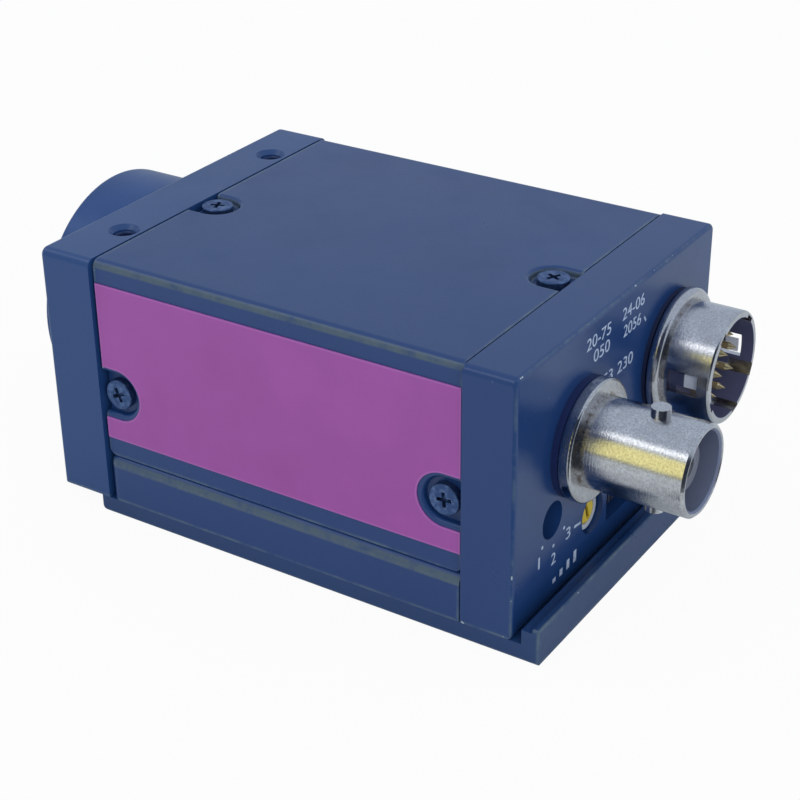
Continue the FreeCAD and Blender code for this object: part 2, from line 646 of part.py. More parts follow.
def flat_screw(name, reach, x, y, z, turn):
    """A cross-recessed countersunk screw, its flat top at its local origin."""
    shank = cell.screw_shank_radius
    sink = cell.screw_head_radius - shank
    body = turned(name, [(0, -reach), (shank, -reach), (shank, -sink), (cell.screw_head_radius, 0), (0, 0)],
                  "XZ_Plane")
    recess = outline_sketch(body, f"{name}_cross", "XY_Plane", 0,
                            cross_outline(cell.recess_length, cell.recess_width))
    pocket(body, f"{name}_cross_cut", recess, cell.recess_depth)
    return place(body, x, y, z, *turn)


def make_housing_screws():
    z_seat = z_top - cell.pocket_depth
    x_seat = x_cover - cell.pocket_depth
    group("top_screws", [
        pan_screw(f"{end}_roof_screw", cell.screw_reach, x, y, z_seat, twist=twist)
        for end, x, y, twist in (("front", cell.front_roof_screw_x, y_front_screw, 20),
                                 ("rear", cell.rear_roof_screw_x, y_rear_screw, 65))])
    for label, x, turn in (("right_side_screws", x_seat, TO_RIGHT), ("left_side_screws", -x_seat, TO_LEFT)):
        group(label, [pan_screw(f"{label}_{end}", cell.screw_reach, x, y, z_side_screw, turn, twist)
                      for end, y, twist in (("front", y_front_screw, 25), ("rear", y_rear_screw, 5))])
    reach = z_hollow_low
    group("base_plate_screws", [
        flat_screw(f"plate_screw_{side}_{end}", reach, x, y, 0, TO_FLOOR)
        for side, x in (("right", x_plate_screw), ("left", -x_plate_screw))
        for end, y in (("front", y_plate_front_screw), ("rear", y_plate_rear_screw))])


def make_lens_mount():
    """The lens mount ring with its screw-in shank, and the filter in its holder at the bottom of the bore."""
    mouth = -cell.mount_length
    relief = mouth + cell.lens_thread_length
    ring = turned("lens_mount_ring", [
        (cell.lens_thread_radius, mouth), (cell.mount_radius, mouth), (cell.mount_radius, 0),
        (cell.mount_shank_radius, 0), (cell.mount_shank_radius, cell.mount_shank_length),
        (cell.mount_throat_radius, cell.mount_shank_length), (cell.mount_throat_radius, relief),
        (cell.lens_thread_radius, relief)])
    dress(ring, "Fillet", "mount_outer_edge", cell.mount_edge_round, {"radius": cell.mount_radius, "y": mouth})
    dress(ring, "Chamfer", "mount_inner_edge", cell.mount_bevel,
          {"radius": cell.lens_thread_radius, "y": mouth})
    keep(place(ring, 0, y_front, z_axis), "lens_mount_ring")
    back = cell.mount_bore_depth
    front = back - cell.holder_thickness
    seat = front + cell.filter_thickness
    holder = turned("filter_holder", [
        (cell.filter_aperture, seat), (cell.filter_radius + cell.fit_gap, seat),
        (cell.filter_radius + cell.fit_gap, front), (cell.mount_shank_radius - cell.fit_gap, front),
        (cell.mount_shank_radius - cell.fit_gap, back), (cell.filter_aperture, back)])
    keep(place(holder, 0, y_front, z_axis), "filter_holder")
    glass = peg("filter_glass", cell.filter_radius, cell.filter_thickness, 0, y_front + front, z_axis, *TO_REAR)
    keep(glass, "filter_glass")
    retainer = turned("filter_retainer", tube(cell.filter_aperture, cell.retainer_radius,
                                              front - cell.retainer_thickness, front))
    keep(place(retainer, 0, y_front, z_axis), "filter_retainer")


def make_sensor():
    """The image sensor at the lens mount's focus, on its board behind the front block."""
    half_wide = cell.package_width / 2
    half_tall = cell.package_height / 2
    well = box("sensor_well", -half_wide + cell.package_rim, half_wide - cell.package_rim,
               y_package, y_image + cell.die_thickness, z_axis - half_tall + cell.package_rim,
               z_axis + half_tall - cell.package_rim)
    slab = box("sensor_slab", -half_wide, half_wide, y_package, y_package_back, z_axis - half_tall,
               z_axis + half_tall)
    keep(bored("sensor_package", slab, well), "sensor_package")
    keep(box("sensor_die", -cell.die_width / 2, cell.die_width / 2, y_image, y_image + cell.die_thickness,
             z_axis - cell.die_height / 2, z_axis + cell.die_height / 2), "sensor_die")
    overlap = cell.package_rim / 2
    keep(box("sensor_window", -half_wide + overlap, half_wide - overlap, y_package - cell.window_thickness,
             y_package, z_axis - half_tall + overlap, z_axis + half_tall - overlap), "sensor_window")
    keep(box("sensor_socket", -half_wide, half_wide, y_package_back, y_sensor_board, z_axis - half_tall,
             z_axis + half_tall), "sensor_socket")
    board = box("sensor_board_blank", -x_sensor_board, x_sensor_board, y_sensor_board, y_sensor_board_back,
                z_axis - cell.sensor_board_height / 2, z_axis + cell.sensor_board_height / 2)
    spots = [(x, z_axis + z) for x in (x_sensor_post, -x_sensor_post)
             for z in (sensor_post_rise, -sensor_post_rise)]
    holes = [peg(f"sensor_board_hole_{number}", cell.clearance_radius, cell.board_thickness,
                 x, y_sensor_board, z, *TO_REAR) for number, (x, z) in enumerate(spots)]
    keep(bored("sensor_board", board, *holes), "sensor_board")
    group("sensor_posts", [
        place(turned(f"sensor_post_{number}",
                     tube(cell.clearance_radius, cell.post_radius, 0, y_sensor_board - y_front_seam)),
              x, y_front_seam, z) for number, (x, z) in enumerate(spots)])
    reach = y_sensor_board_back - y_front_seam + cell.screw_reach * 0.8
    group("sensor_board_screws", [
        pan_screw(f"sensor_board_screw_{number}", reach, x, y_sensor_board_back, z, TO_REAR)
        for number, (x, z) in enumerate(spots)])


def six_sided(name, across, inner, thickness, x, y, z):
    """A hexagon nut, its axis along +Y from the given point."""
    body = new_body(name)
    corners = [(across * math.cos(math.radians(60 * turn)), across * math.sin(math.radians(60 * turn)))
               for turn in range(6)]
    profile = outline_sketch(body, f"{name}_outline", "XZ_Plane", 0, corners)
    pad(body, f"{name}_pad", profile, thickness, reverse=True)
    hole = circle_sketch(body, f"{name}_hole", "XZ_Plane", 0, (0, 0, inner))
    pocket(body, f"{name}_hole_cut", hole, thickness)
    dress(body, "Chamfer", f"{name}_hole_bevel", thickness * 0.12, {"radius": inner})
    return place(body, x, y, z)


def make_coaxial_output():
    """The bayonet jack: bush, one-piece shell with two lugs, white core, centre contact and nut."""
    x = x_coax
    z = z_base + cell.coax_height
    gap = cell.shank_gap
    bush_end = cell.coax_bush_thickness
    flange_end = bush_end + cell.coax_flange_thickness
    mouth = cell.coax_reach
    bore_floor = mouth - cell.coax_bore_depth
    tail = -cell.rear_wall - cell.coax_nut_thickness
    bush = turned("coax_bush", [
        (cell.coax_neck_radius + gap, -cell.rear_wall), (cell.coax_hole_radius - gap, -cell.rear_wall),
        (cell.coax_hole_radius - gap, 0), (cell.coax_bush_radius, 0), (cell.coax_bush_radius, bush_end),
        (cell.coax_neck_radius + gap, bush_end)])
    keep(place(bush, x, y_rear, z), "coax_bush")
    core = cell.coax_core_radius
    shell = turned("coax_shell", [
        (core + gap, tail), (cell.coax_neck_radius, tail), (cell.coax_neck_radius, bush_end),
        (cell.coax_flange_radius, bush_end), (cell.coax_flange_radius, flange_end),
        (cell.coax_barrel_radius, flange_end), (cell.coax_barrel_radius, mouth), (cell.coax_bore_radius, mouth),
        (cell.coax_bore_radius, bore_floor), (core + gap, bore_floor)])
    dress(shell, "Fillet", "coax_flange_edges", cell.coax_flange_thickness * 0.22,
          {"radius": cell.coax_flange_radius})
    dress(shell, "Chamfer", "coax_mouth_bevel", (cell.coax_barrel_radius - cell.coax_bore_radius) * 0.4,
          {"radius": cell.coax_barrel_radius, "y": mouth}, {"radius": cell.coax_bore_radius, "y": mouth})
    lug_spot = (0, mouth - cell.coax_lug_setback, cell.coax_lug_radius)
    lug_sketch = circle_sketch(shell, "coax_upper_lug", "XY_Plane", cell.coax_barrel_radius * 0.93, lug_spot)
    lug_length = cell.coax_lug_height + cell.coax_barrel_radius * 0.07
    pad(shell, "coax_upper_lug_pad", lug_sketch, lug_length)
    lug_sketch = circle_sketch(shell, "coax_lower_lug", "XY_Plane", -cell.coax_barrel_radius * 0.93, lug_spot)
    pad(shell, "coax_lower_lug_pad", lug_sketch, lug_length, reverse=True)
    keep(place(shell, x, y_rear, z), "coax_shell")
    core_end = mouth - cell.coax_core_setback
    contact = cell.coax_contact_radius
    dielectric = turned("coax_dielectric", tube(contact + gap, core, tail, core_end))
    keep(place(dielectric, x, y_rear, z), "coax_dielectric")
    pin = turned("coax_contact", [
        (0, -cell.rear_board_inset), (contact * 0.5, -cell.rear_board_inset), (contact * 0.5, tail),
        (contact, tail), (contact, core_end - cell.fit_gap), (cell.coax_contact_bore, core_end - cell.fit_gap),
        (cell.coax_contact_bore, bore_floor), (0, bore_floor)])
    slot = outline_sketch(pin, "coax_contact_slots", "XZ_Plane", -core_end,
                          cross_outline(contact * 3, contact * 0.22))
    pocket(pin, "coax_contact_slots_cut", slot, cell.coax_bore_depth * 0.3, reverse=True)
    keep(place(pin, x, y_rear, z), "coax_contact")
    nut = six_sided("coax_nut", cell.coax_nut_radius, cell.coax_neck_radius + gap, cell.coax_nut_thickness,
                    x, y_panel - cell.coax_nut_thickness, z)
    keep(nut, "coax_nut")


# Where the keyways sit round the receptacle's bore, in degrees from +X towards +Z.
KEYWAY_ANGLES = (55, 130, 205, 255, 335)


def make_multipin():
    """The 12-pin circular receptacle: beaded flange and shell with keyways and two latch windows."""
    x = x_multipin
    z = z_multipin
    gap = cell.shank_gap
    gasket_end = cell.multipin_gasket_thickness
    flange_end = gasket_end + cell.multipin_flange_thickness
    mouth = cell.multipin_reach
    face = mouth - cell.multipin_insert_setback
    tail = -cell.rear_wall - cell.multipin_nut_thickness
    outer = cell.multipin_radius
    bore = cell.multipin_bore_radius
    plug_radius = cell.multipin_neck_radius * 0.85
    gasket = turned("multipin_gasket", tube(cell.multipin_neck_radius + gap, cell.multipin_flange_radius * 0.96,
                                            0, gasket_end))
    keep(place(gasket, x, y_rear, z), "multipin_gasket")
    step = gasket_end + cell.fit_gap
    shell = turned("multipin_shell", [
        (plug_radius + gap, tail), (cell.multipin_neck_radius, tail), (cell.multipin_neck_radius, gasket_end),
        (cell.multipin_flange_radius, gasket_end), (cell.multipin_flange_radius, flange_end),
        (outer, flange_end), (outer, mouth), (bore, mouth), (bore, step), (plug_radius + gap, step)])
    dress(shell, "Fillet", "multipin_bead", cell.multipin_flange_thickness * 0.45,
          {"radius": cell.multipin_flange_radius})
    dress(shell, "Fillet", "multipin_mouth", (outer - bore) * 0.35,
          {"radius": outer, "y": mouth})
    keys = new_sketch(shell, "keyways", "XZ_Plane", -mouth)
    half = cell.keyway_width / 2
    for angle in KEYWAY_ANGLES:
        turn = math.radians(angle)
        across = Vector(-math.sin(turn), math.cos(turn), 0)
        out = Vector(math.cos(turn), math.sin(turn), 0)
        near = bore * 0.8
        far = bore + cell.keyway_depth
        add_outline(keys, [(out.x * reach + across.x * side, out.y * reach + across.y * side)
                           for reach, side in ((near, -half), (far, -half), (far, half), (near, half))])
    pocket(shell, "keyways_cut", keys, cell.keyway_length, reverse=True)
    window_start = cell.multipin_window_start
    window = outline_sketch(shell, "latch_windows", "YZ_Plane", -outer * 1.2, rectangle(
        window_start, window_start + cell.multipin_window_length, -cell.multipin_window_height / 2,
        cell.multipin_window_height / 2))
    pocket(shell, "latch_windows_cut", window, outer * 2.4, reverse=True)
    keep(place(shell, x, y_rear, z), "multipin_shell")
    insert_radius = bore - cell.latch_thickness - gap
    insert = turned("multipin_insert", [
        (0, -cell.rear_board_inset), (plug_radius, -cell.rear_board_inset), (plug_radius, step),
        (insert_radius, step), (insert_radius, face), (0, face)])
    keep(place(insert, x, y_rear, z), "multipin_insert")
    make_multipin_pins(x, z, face)
    latch_end = face + cell.latch_tongue_length
    latch = turned("multipin_latch_ring", tube(bore - cell.latch_thickness, bore - gap / 2, step, latch_end))
    half = cell.latch_tongue_width / 2
    trims = outline_sketch(latch, "latch_trims", "YZ_Plane", -outer,
                           rectangle(face, latch_end * 1.1, half, outer),
                           rectangle(face, latch_end * 1.1, -outer, -half))
    pocket(latch, "latch_trims_cut", trims, outer * 2, reverse=True)
    keep(place(latch, x, y_rear, z), "multipin_latch_ring")
    nut = turned("multipin_nut", tube(cell.multipin_neck_radius + gap, cell.multipin_nut_radius,
                                      -cell.multipin_nut_thickness, 0))
    notch = outline_sketch(nut, "nut_notches", "XZ_Plane", cell.multipin_nut_thickness, rectangle(
        -cell.multipin_nut_radius * 1.1, cell.multipin_nut_radius * 1.1, -cell.driver_slot_width,
        cell.driver_slot_width))
    pocket(nut, "nut_notches_cut", notch, cell.multipin_nut_thickness / 2)
    keep(place(nut, x, y_panel, z), "multipin_nut")


def make_multipin_pins(x, z, face):
    """Nine pointed pins on an outer circle and three on an inner one, standing on the insert's face."""
    pins = []
    for ring, count, circle, first in (("outer", 9, cell.outer_pin_circle, 90),
                                       ("inner", 3, cell.inner_pin_circle, 30)):
        for number in range(count):
            turn = math.radians(first + 360 / count * number)
            pin = turned(f"{ring}_pin_{number}", [
                (0, 0), (cell.pin_radius, 0), (cell.pin_radius, cell.pin_length - cell.pin_point),
                (0, cell.pin_length)])
            pins.append(place(pin, x + circle * math.cos(turn), y_rear + face, z + circle * math.sin(turn)))
    group("multipin_pins", pins)


def arrow(length, width):
    """An arrow-shaped slot that points along -v."""
    tip = -length / 2
    neck = tip + width
    return [(0, tip), (width, neck), (width / 2, neck), (width / 2, length / 2), (-width / 2, length / 2),
            (-width / 2, neck), (-width, neck)]


def make_gain_switch():
    """A three-position rotary selector in a round well, set with a screwdriver."""
    x = x_gain
    z = z_base + cell.gain_height
    depth = cell.rear_board_inset
    neck_end = -cell.gain_sink
    base_end = -depth + cell.gain_box_depth
    half = cell.gain_box / 2
    well = cell.gain_rotor_radius + cell.running_gap
    body = new_body("gain_switch_body")
    square = outline_sketch(body, "gain_square", "XZ_Plane", depth, rectangle(-half, half, -half, half))
    pad(body, "gain_square_pad", square, cell.gain_box_depth, reverse=True)
    neck = circle_sketch(body, "gain_neck", "XZ_Plane", -base_end, (0, 0, cell.gain_neck_radius), (0, 0, well))
    pad(body, "gain_neck_pad", neck, neck_end - base_end, reverse=True)
    keep(place(body, x, y_rear, z), "gain_switch_body")
    top = neck_end - cell.running_gap
    rotor = turned("gain_selector", [(0, base_end + cell.running_gap),
                                     (cell.gain_rotor_radius, base_end + cell.running_gap),
                                     (cell.gain_rotor_radius, top), (0, top)])
    slot = outline_sketch(rotor, "gain_slot", "XZ_Plane", -top,
                          arrow(cell.gain_rotor_radius * 1.6, cell.driver_slot_width))
    pocket(rotor, "gain_slot_cut", slot, cell.driver_slot_depth, reverse=True)
    keep(place(rotor, x, y_rear, z), "gain_selector")


def make_trimmer():
    """The manual gain trimmer: a pale body with a round rim, and a slotted rotor that turns in it."""
    x = x_trimmer
    z = z_base + cell.trimmer_height
    half = cell.trimmer_box / 2
    depth = cell.rear_board_inset
    shoulder = -cell.rear_wall - cell.fit_gap * 2
    rim_end = -cell.trimmer_sink
    well = cell.trimmer_rotor_radius + cell.running_gap
    body = new_body("trimmer_body")
    square = outline_sketch(body, "trimmer_square", "XZ_Plane", depth, rectangle(-half, half, -half, half))
    pad(body, "trimmer_square_pad", square, depth + shoulder, reverse=True)
    rim = circle_sketch(body, "trimmer_rim", "XZ_Plane", -shoulder,
                        (0, 0, cell.trimmer_ring_radius), (0, 0, well))
    pad(body, "trimmer_rim_pad", rim, rim_end - shoulder, reverse=True)
    keep(place(body, x, y_rear, z), "trimmer_body")
    rotor = turned("trimmer_rotor", [(0, shoulder + cell.running_gap),
                                     (cell.trimmer_rotor_radius, shoulder + cell.running_gap),
                                     (cell.trimmer_rotor_radius, rim_end), (0, rim_end)])
    dress(rotor, "Chamfer", "rotor_bevel", cell.running_gap * 3,
          {"radius": cell.trimmer_rotor_radius, "y": rim_end})
    reach = cell.trimmer_slot_length / 2
    slot = outline_sketch(rotor, "rotor_slot", "XZ_Plane", -rim_end,
                          rectangle(-cell.driver_slot_width / 2, cell.driver_slot_width / 2, -reach, reach))
    pocket(rotor, "rotor_slot_cut", slot, cell.driver_slot_depth, reverse=True)
    keep(place(rotor, x, y_rear, z, (0, 1, 0), TRIMMER_TURN), "trimmer_rotor")


# How far the trimmer's slot stands turned from upright, in degrees.
TRIMMER_TURN = 19


def make_sync_switch():
    """A two-position slide switch behind the window in the rear panel."""
    x = x_switch
    z = z_base + cell.switch_height
    depth = cell.rear_board_inset
    face = -cell.rear_wall - cell.fit_gap * 2
    half_wide = cell.switch_body_width / 2
    half_tall = cell.switch_window_height / 2
    body = new_body("sync_switch_body")
    outline = outline_sketch(body, "switch_block", "XZ_Plane", depth,
                             rectangle(-half_wide, half_wide, -half_tall, half_tall))
    pad(body, "switch_block_pad", outline, depth + face, reverse=True)
    track = outline_sketch(body, "switch_track", "XZ_Plane", -face, rectangle(
        -cell.switch_track_width / 2, cell.switch_track_width / 2, -cell.switch_track_height / 2,
        cell.switch_track_height / 2))
    pocket(body, "switch_track_cut", track, cell.switch_track_depth, reverse=True)
    keep(place(body, x, y_rear, z), "sync_switch_body")
    foot = face - cell.switch_track_depth + cell.running_gap
    tip = -cell.switch_knob_sink
    half_knob = cell.switch_knob_width / 2
    knob = new_body("sync_switch_slider")
    outline = outline_sketch(knob, "knob", "XZ_Plane", -foot, rectangle(
        -half_knob, half_knob, -cell.switch_knob_height / 2, cell.switch_knob_height / 2))
    pad(knob, "knob_pad", outline, tip - foot, reverse=True)
    ribs = [rectangle(centre - cell.running_gap * 3, centre + cell.running_gap * 3, -cell.switch_knob_height,
                      cell.switch_knob_height)
            for centre in (-half_knob * 0.5, as_size(0), half_knob * 0.5)]
    grip = outline_sketch(knob, "knob_grip", "XZ_Plane", -tip, *ribs)
    pocket(knob, "knob_grip_cut", grip, cell.running_gap * 5, reverse=True)
    keep(place(knob, x + cell.switch_travel / 2, y_rear, z), "sync_switch_slider")


def make_rear_board():
    """The board behind the rear panel, on four posts."""
    spots = [(x, z) for x in (x_rear_post, -x_rear_post) for z in (z_rear_post_low, z_rear_post_top)]
    blank = box("rear_board_blank", -x_board, x_board, y_rear_board, y_rear_board_back, z_rear_board_low,
                z_rear_board_top)
    holes = [peg(f"rear_board_hole_{number}", cell.screw_shank_radius + cell.shank_gap, cell.board_thickness,
                 x, y_rear_board, z, *TO_REAR) for number, (x, z) in enumerate(spots)]
    keep(bored("rear_board", blank, *holes), "rear_board")
    bore = cell.screw_shank_radius + cell.shank_gap
    group("rear_board_posts", [
        place(turned(f"rear_post_{number}", tube(bore, cell.rear_post_radius, 0, y_panel - y_rear_board_back)),
              x, y_rear_board_back, z) for number, (x, z) in enumerate(spots)])
    reach = y_panel - y_rear_board + cell.rear_wall / 2
    group("rear_board_screws", [pan_screw(f"rear_board_screw_{number}", reach, x, y_rear_board, z, TO_FRONT)
                                for number, (x, z) in enumerate(spots)])


def make_boards():
    """Two boards stacked over the tray on pillars, with their parts and the headers to the end boards."""
    z_main = z_tray_floor + cell.main_board_lift
    z_main_top = z_main + cell.board_thickness
    z_upper = z_main_top + cell.upper_board_lift
    z_upper_top = z_upper + cell.board_thickness
    x_pillar = x_board - cell.pillar_side_inset
    spots = [(x, y) for x in (x_pillar, -x_pillar)
             for y in (y_board_start + cell.pillar_inset, y_board_end - cell.pillar_inset)]
    for label, low in (("main_board", z_main), ("upper_board", z_upper)):
        blank = box(f"{label}_blank", -x_board, x_board, y_board_start, y_board_end, low,
                    low + cell.board_thickness)
        holes = [peg(f"{label}_hole_{number}", cell.clearance_radius, cell.board_thickness, x, y, low)
                 for number, (x, y) in enumerate(spots)]
        keep(bored(label, blank, *holes), label)
    bore = cell.tapped_radius
    group("lower_pillars", [
        place(turned(f"lower_pillar_{number}", tube(bore, cell.pillar_radius, 0, cell.main_board_lift),
                     "XZ_Plane"), x, y, z_tray_floor) for number, (x, y) in enumerate(spots)])
    stud = -cell.board_thickness - cell.pillar_stud
    lift = cell.upper_board_lift
    group("upper_pillars", [
        place(turned(f"upper_pillar_{number}", [
            (0, stud), (cell.screw_shank_radius, stud), (cell.screw_shank_radius, 0), (cell.pillar_radius, 0),
            (cell.pillar_radius, lift), (bore, lift), (bore, lift / 2), (0, lift / 2)], "XZ_Plane"),
            x, y, z_main_top) for number, (x, y) in enumerate(spots)])
    group("board_screws", [
        pan_screw(f"board_screw_{number}", lift * 0.45 + cell.board_thickness, x, y, z_upper_top)
        for number, (x, y) in enumerate(spots)])
    y_middle = (y_board_start + y_board_end) / 2
    chip = cell.chip_width / 2
    group("processor_chips", [
        box(f"processor_chip_{side}", x - chip, x + chip, y_middle - chip, y_middle + chip, z_main_top,
            z_main_top + cell.chip_height) for side, x in (("right", cell.chip_x), ("left", -cell.chip_x))])
    group("upper_chips", [
        box("upper_chip", -chip, chip, y_middle - chip, y_middle + chip, z_upper_top,
            z_upper_top + cell.chip_height)])
    y_row = y_middle + chip + cell.capacitor_radius + cell.fit_gap * 5
    group("capacitors", [
        peg(f"capacitor_{number}", cell.capacitor_radius, cell.capacitor_height,
            cell.capacitor_x * step, y_row, z_main_top) for number, step in enumerate((-1, 1))])
    y_can = y_middle - chip - cell.can_depth - cell.fit_gap * 5
    keep(box("crystal_can", -cell.can_width / 2, cell.can_width / 2, y_can, y_can + cell.can_depth, z_upper_top,
             z_upper_top + cell.can_height), "crystal_can")
    coil = cell.coil_width / 2
    keep(box("power_coil", -coil, coil, y_middle + chip + cell.fit_gap * 5,
             y_middle + chip + cell.fit_gap * 5 + cell.coil_width, z_upper_top, z_upper_top + cell.coil_height),
         "power_coil")
    wide = cell.header_width / 2
    group("board_headers", [
        box("front_header", -wide, wide, y_sensor_board_back, y_board_start + cell.header_overlap, z_main_top,
            z_main_top + cell.header_height),
        box("rear_header", -wide, wide, y_board_end - cell.header_overlap, y_rear_board, z_main_top,
            z_main_top + cell.header_height)])


make_front_block()
make_rear_block()
make_top_cover()
make_lower_tray()
make_base_plate()
make_side_label()
make_housing_screws()
make_lens_mount()
make_sensor()
make_coaxial_output()
make_multipin()
make_gain_switch()
make_trimmer()
make_sync_switch()
make_rear_board()
make_boards()

doc.recompute()
for item in doc.Objects:
    if "Invalid" in item.State or "Error" in item.State:
        raise RuntimeError(f"{item.Name} failed: {item.State}")
os.makedirs("parts", exist_ok=True)
for item in nodes:
    if item.Shape.isNull() or not item.Shape.isValid():
        raise RuntimeError(f"{item.Label} has no valid shape")
    item.Shape.exportStep(f"parts/{item.Label}.step")
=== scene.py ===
"""The looks of a machine vision camera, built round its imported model. Sizes are in metres."""
import math

import bpy
import numpy as np
from mathutils import Matrix, Vector


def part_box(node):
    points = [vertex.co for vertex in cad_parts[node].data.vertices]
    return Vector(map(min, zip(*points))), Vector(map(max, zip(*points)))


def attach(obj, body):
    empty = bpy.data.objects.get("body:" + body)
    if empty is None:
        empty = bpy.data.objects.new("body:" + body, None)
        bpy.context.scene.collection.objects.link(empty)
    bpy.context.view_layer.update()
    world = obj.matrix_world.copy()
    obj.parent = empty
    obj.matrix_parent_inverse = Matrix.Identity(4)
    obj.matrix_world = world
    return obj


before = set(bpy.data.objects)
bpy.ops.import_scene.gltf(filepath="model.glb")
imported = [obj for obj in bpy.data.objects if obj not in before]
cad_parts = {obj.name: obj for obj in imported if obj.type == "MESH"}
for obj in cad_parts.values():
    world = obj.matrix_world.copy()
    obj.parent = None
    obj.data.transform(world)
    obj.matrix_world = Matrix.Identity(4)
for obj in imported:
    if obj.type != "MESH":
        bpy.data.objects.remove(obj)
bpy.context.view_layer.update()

# ---------------------------------------------------------------- studio
# A white table under soft light, with a soft strip over the right side. Round the viewer a black card
# stands, another lies flat, and a warm card, which glows in the plated connectors alone, stands over a low
# olive one. The camera looks down on the rear right corner.

MM = 0.001


def feed(tree, kind, inputs=(), **settings):
    """A node of that kind in the tree. Each input is a number, a colour or another node's output."""
    made = tree.nodes.new("ShaderNode" + kind)
    for key, value in settings.items():
        setattr(made, key, value)
    for key, value in dict(inputs).items():
        if isinstance(value, bpy.types.NodeSocket):
            tree.links.new(value, made.inputs[key])
        else:
            made.inputs[key].default_value = value
    return made


def math_of(tree, operation, *values):
    """The output of a Math node over those values."""
    return feed(tree, "Math", dict(enumerate(values)), operation=operation).outputs[0]


def blend(tree, share, first, second):
    """The colour that goes from first to second with share. Inputs 6 and 7 of a mix are its two colours."""
    return feed(tree, "Mix", {"Factor": share, 6: first, 7: second}, data_type="RGBA").outputs[2]


def surface(name, points, faces):
    """A mesh object at the origin from points (n, 3) in metres and faces as rows of point numbers."""
    mesh = bpy.data.meshes.new(name)
    mesh.from_pydata(np.asarray(points).tolist(), [], np.asarray(faces).tolist())
    mesh.update()
    made = bpy.data.objects.new(name, mesh)
    bpy.context.scene.collection.objects.link(made)
    return made


def card(name, centre, facing, width, height, colour, shown_in=()):
    """A flat glowing rectangle that only shows in reflections: centre +- width/2 and height/2 across facing.
    With shown_in it glows in those CAD nodes alone, and is a tinted pane to the rest."""
    away = Vector(facing).normalized()
    across = away.cross(Vector((0, 0, 1))).normalized() * width / 2
    along = across.cross(away).normalized() * height / 2
    spot = Vector(centre)
    corners = [spot - across - along, spot + across - along, spot + across + along, spot - across + along]
    made = surface(name, corners, [(0, 1, 2, 3)])
    material = bpy.data.materials.new(name)
    material.use_nodes = True
    tree = material.node_tree
    tree.nodes.clear()
    light = feed(tree, "Emission", {"Color": colour, "Strength": 1.0})
    if shown_in:
        lit_nodes = bpy.data.collections.new(name + "_shown_in")
        for shown in shown_in:
            lit_nodes.objects.link(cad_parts[shown])
        made.light_linking.receiver_collection = lit_nodes
        pane = feed(tree, "BsdfTransparent", {"Color": (0.76, 0.72, 0.50, 1)})
        light = feed(tree, "AddShader", {0: light.outputs[0], 1: pane.outputs[0]})
    feed(tree, "OutputMaterial", {"Surface": light.outputs[0]})
    made.data.materials.append(material)
    made.visible_camera = False
    made.visible_diffuse = False
    made.visible_shadow = False


def soft_lamp(name, place, width, height, watts):
    """A rectangular lamp at that place, aimed at the middle of the part."""
    data = bpy.data.lights.new(name, "AREA")
    data.shape = "RECTANGLE"
    data.size = width
    data.size_y = height
    data.energy = watts
    made = bpy.data.objects.new(name, data)
    scene.collection.objects.link(made)
    made.location = place
    middle = Vector((0, 0, 15 * MM))
    made.rotation_euler = (Vector(place) - middle).to_track_quat("Z", "Y").to_euler()
    return made


scene = bpy.context.scene
scene.view_settings.view_transform = "Standard"

world = bpy.data.worlds.new("studio")
world.use_nodes = True
scene.world = world
room = world.node_tree
room.nodes.clear()
ray = feed(room, "LightPath")
room_light = (0.66, 0.72, 0.77, 1)
room_mirrored = (0.49, 0.57, 0.70, 1)
plain = blend(room, ray.outputs["Is Glossy Ray"], room_light, room_mirrored)
seen = math_of(room, "MAXIMUM", ray.outputs["Is Camera Ray"], ray.outputs["Is Transmission Ray"])
sky = feed(room, "Background", {"Color": blend(room, seen, plain, (1, 1, 1, 1)), "Strength": 1.0})
feed(room, "OutputWorld", {"Surface": sky.outputs[0]})

table_reach = 1.6
table_drop = 0.02 * MM
turn = np.linspace(0, 2 * np.pi, 48, endpoint=False)
table_rim = table_reach * np.stack([np.cos(turn), np.sin(turn), 0 * turn], 1) - (0, 0, table_drop)
floor = surface("table_top", table_rim, [list(range(len(turn)))])
white = bpy.data.materials.new("table_white")
white.use_nodes = True
table = white.node_tree
table.nodes.clear()
ray = feed(table, "LightPath")
paper_mirrored = (0.72, 0.74, 0.76, 1)
paper_tone = blend(table, ray.outputs["Is Glossy Ray"], (0.8, 0.8, 0.8, 1), paper_mirrored)
paper = feed(table, "BsdfDiffuse", {"Color": paper_tone})
bright = feed(table, "Emission", {"Color": (1, 1, 1, 1), "Strength": 1.0})
share = math_of(table, "MULTIPLY", ray.outputs["Is Camera Ray"], 0.94)
lit = feed(table, "MixShader", {0: share, 1: paper.outputs[0], 2: bright.outputs[0]})
feed(table, "OutputMaterial", {"Surface": lit.outputs[0]})
floor.data.materials.append(white)

plated_pieces = ("coax_shell", "coax_nut", "multipin_shell", "multipin_nut", "multipin_latch_ring")
card("warm_card", (0.25, -0.10, 0.125), (0.87, -0.50, 0.05), 0.34, 0.19, (0.80, 0.68, 0.15, 1),
     shown_in=plated_pieces)
card("olive_skirting", (0.245, -0.097, 0.018), (0.87, -0.50, 0.0), 0.34, 0.018, (0.16, 0.16, 0.12, 1))
card("black_flag", (0.30, 0.30, 0.30), (0.7, 0.7, 0.05), 0.7, 0.60, (0.03, 0.04, 0.07, 1))
card("black_mat", (0.225, 0.230, 0.001), (0.001, 0, 1), 0.40, 0.40, (0.05, 0.06, 0.08, 1))
soft_lamp("overhead_strip", (0.225, -0.175, 0.350), 0.60, 0.060, 0.17)
fill = soft_lamp("rear_fill", (0.45, 0.55, 0.45), 0.5, 0.5, 1.6)
fill.visible_glossy = False

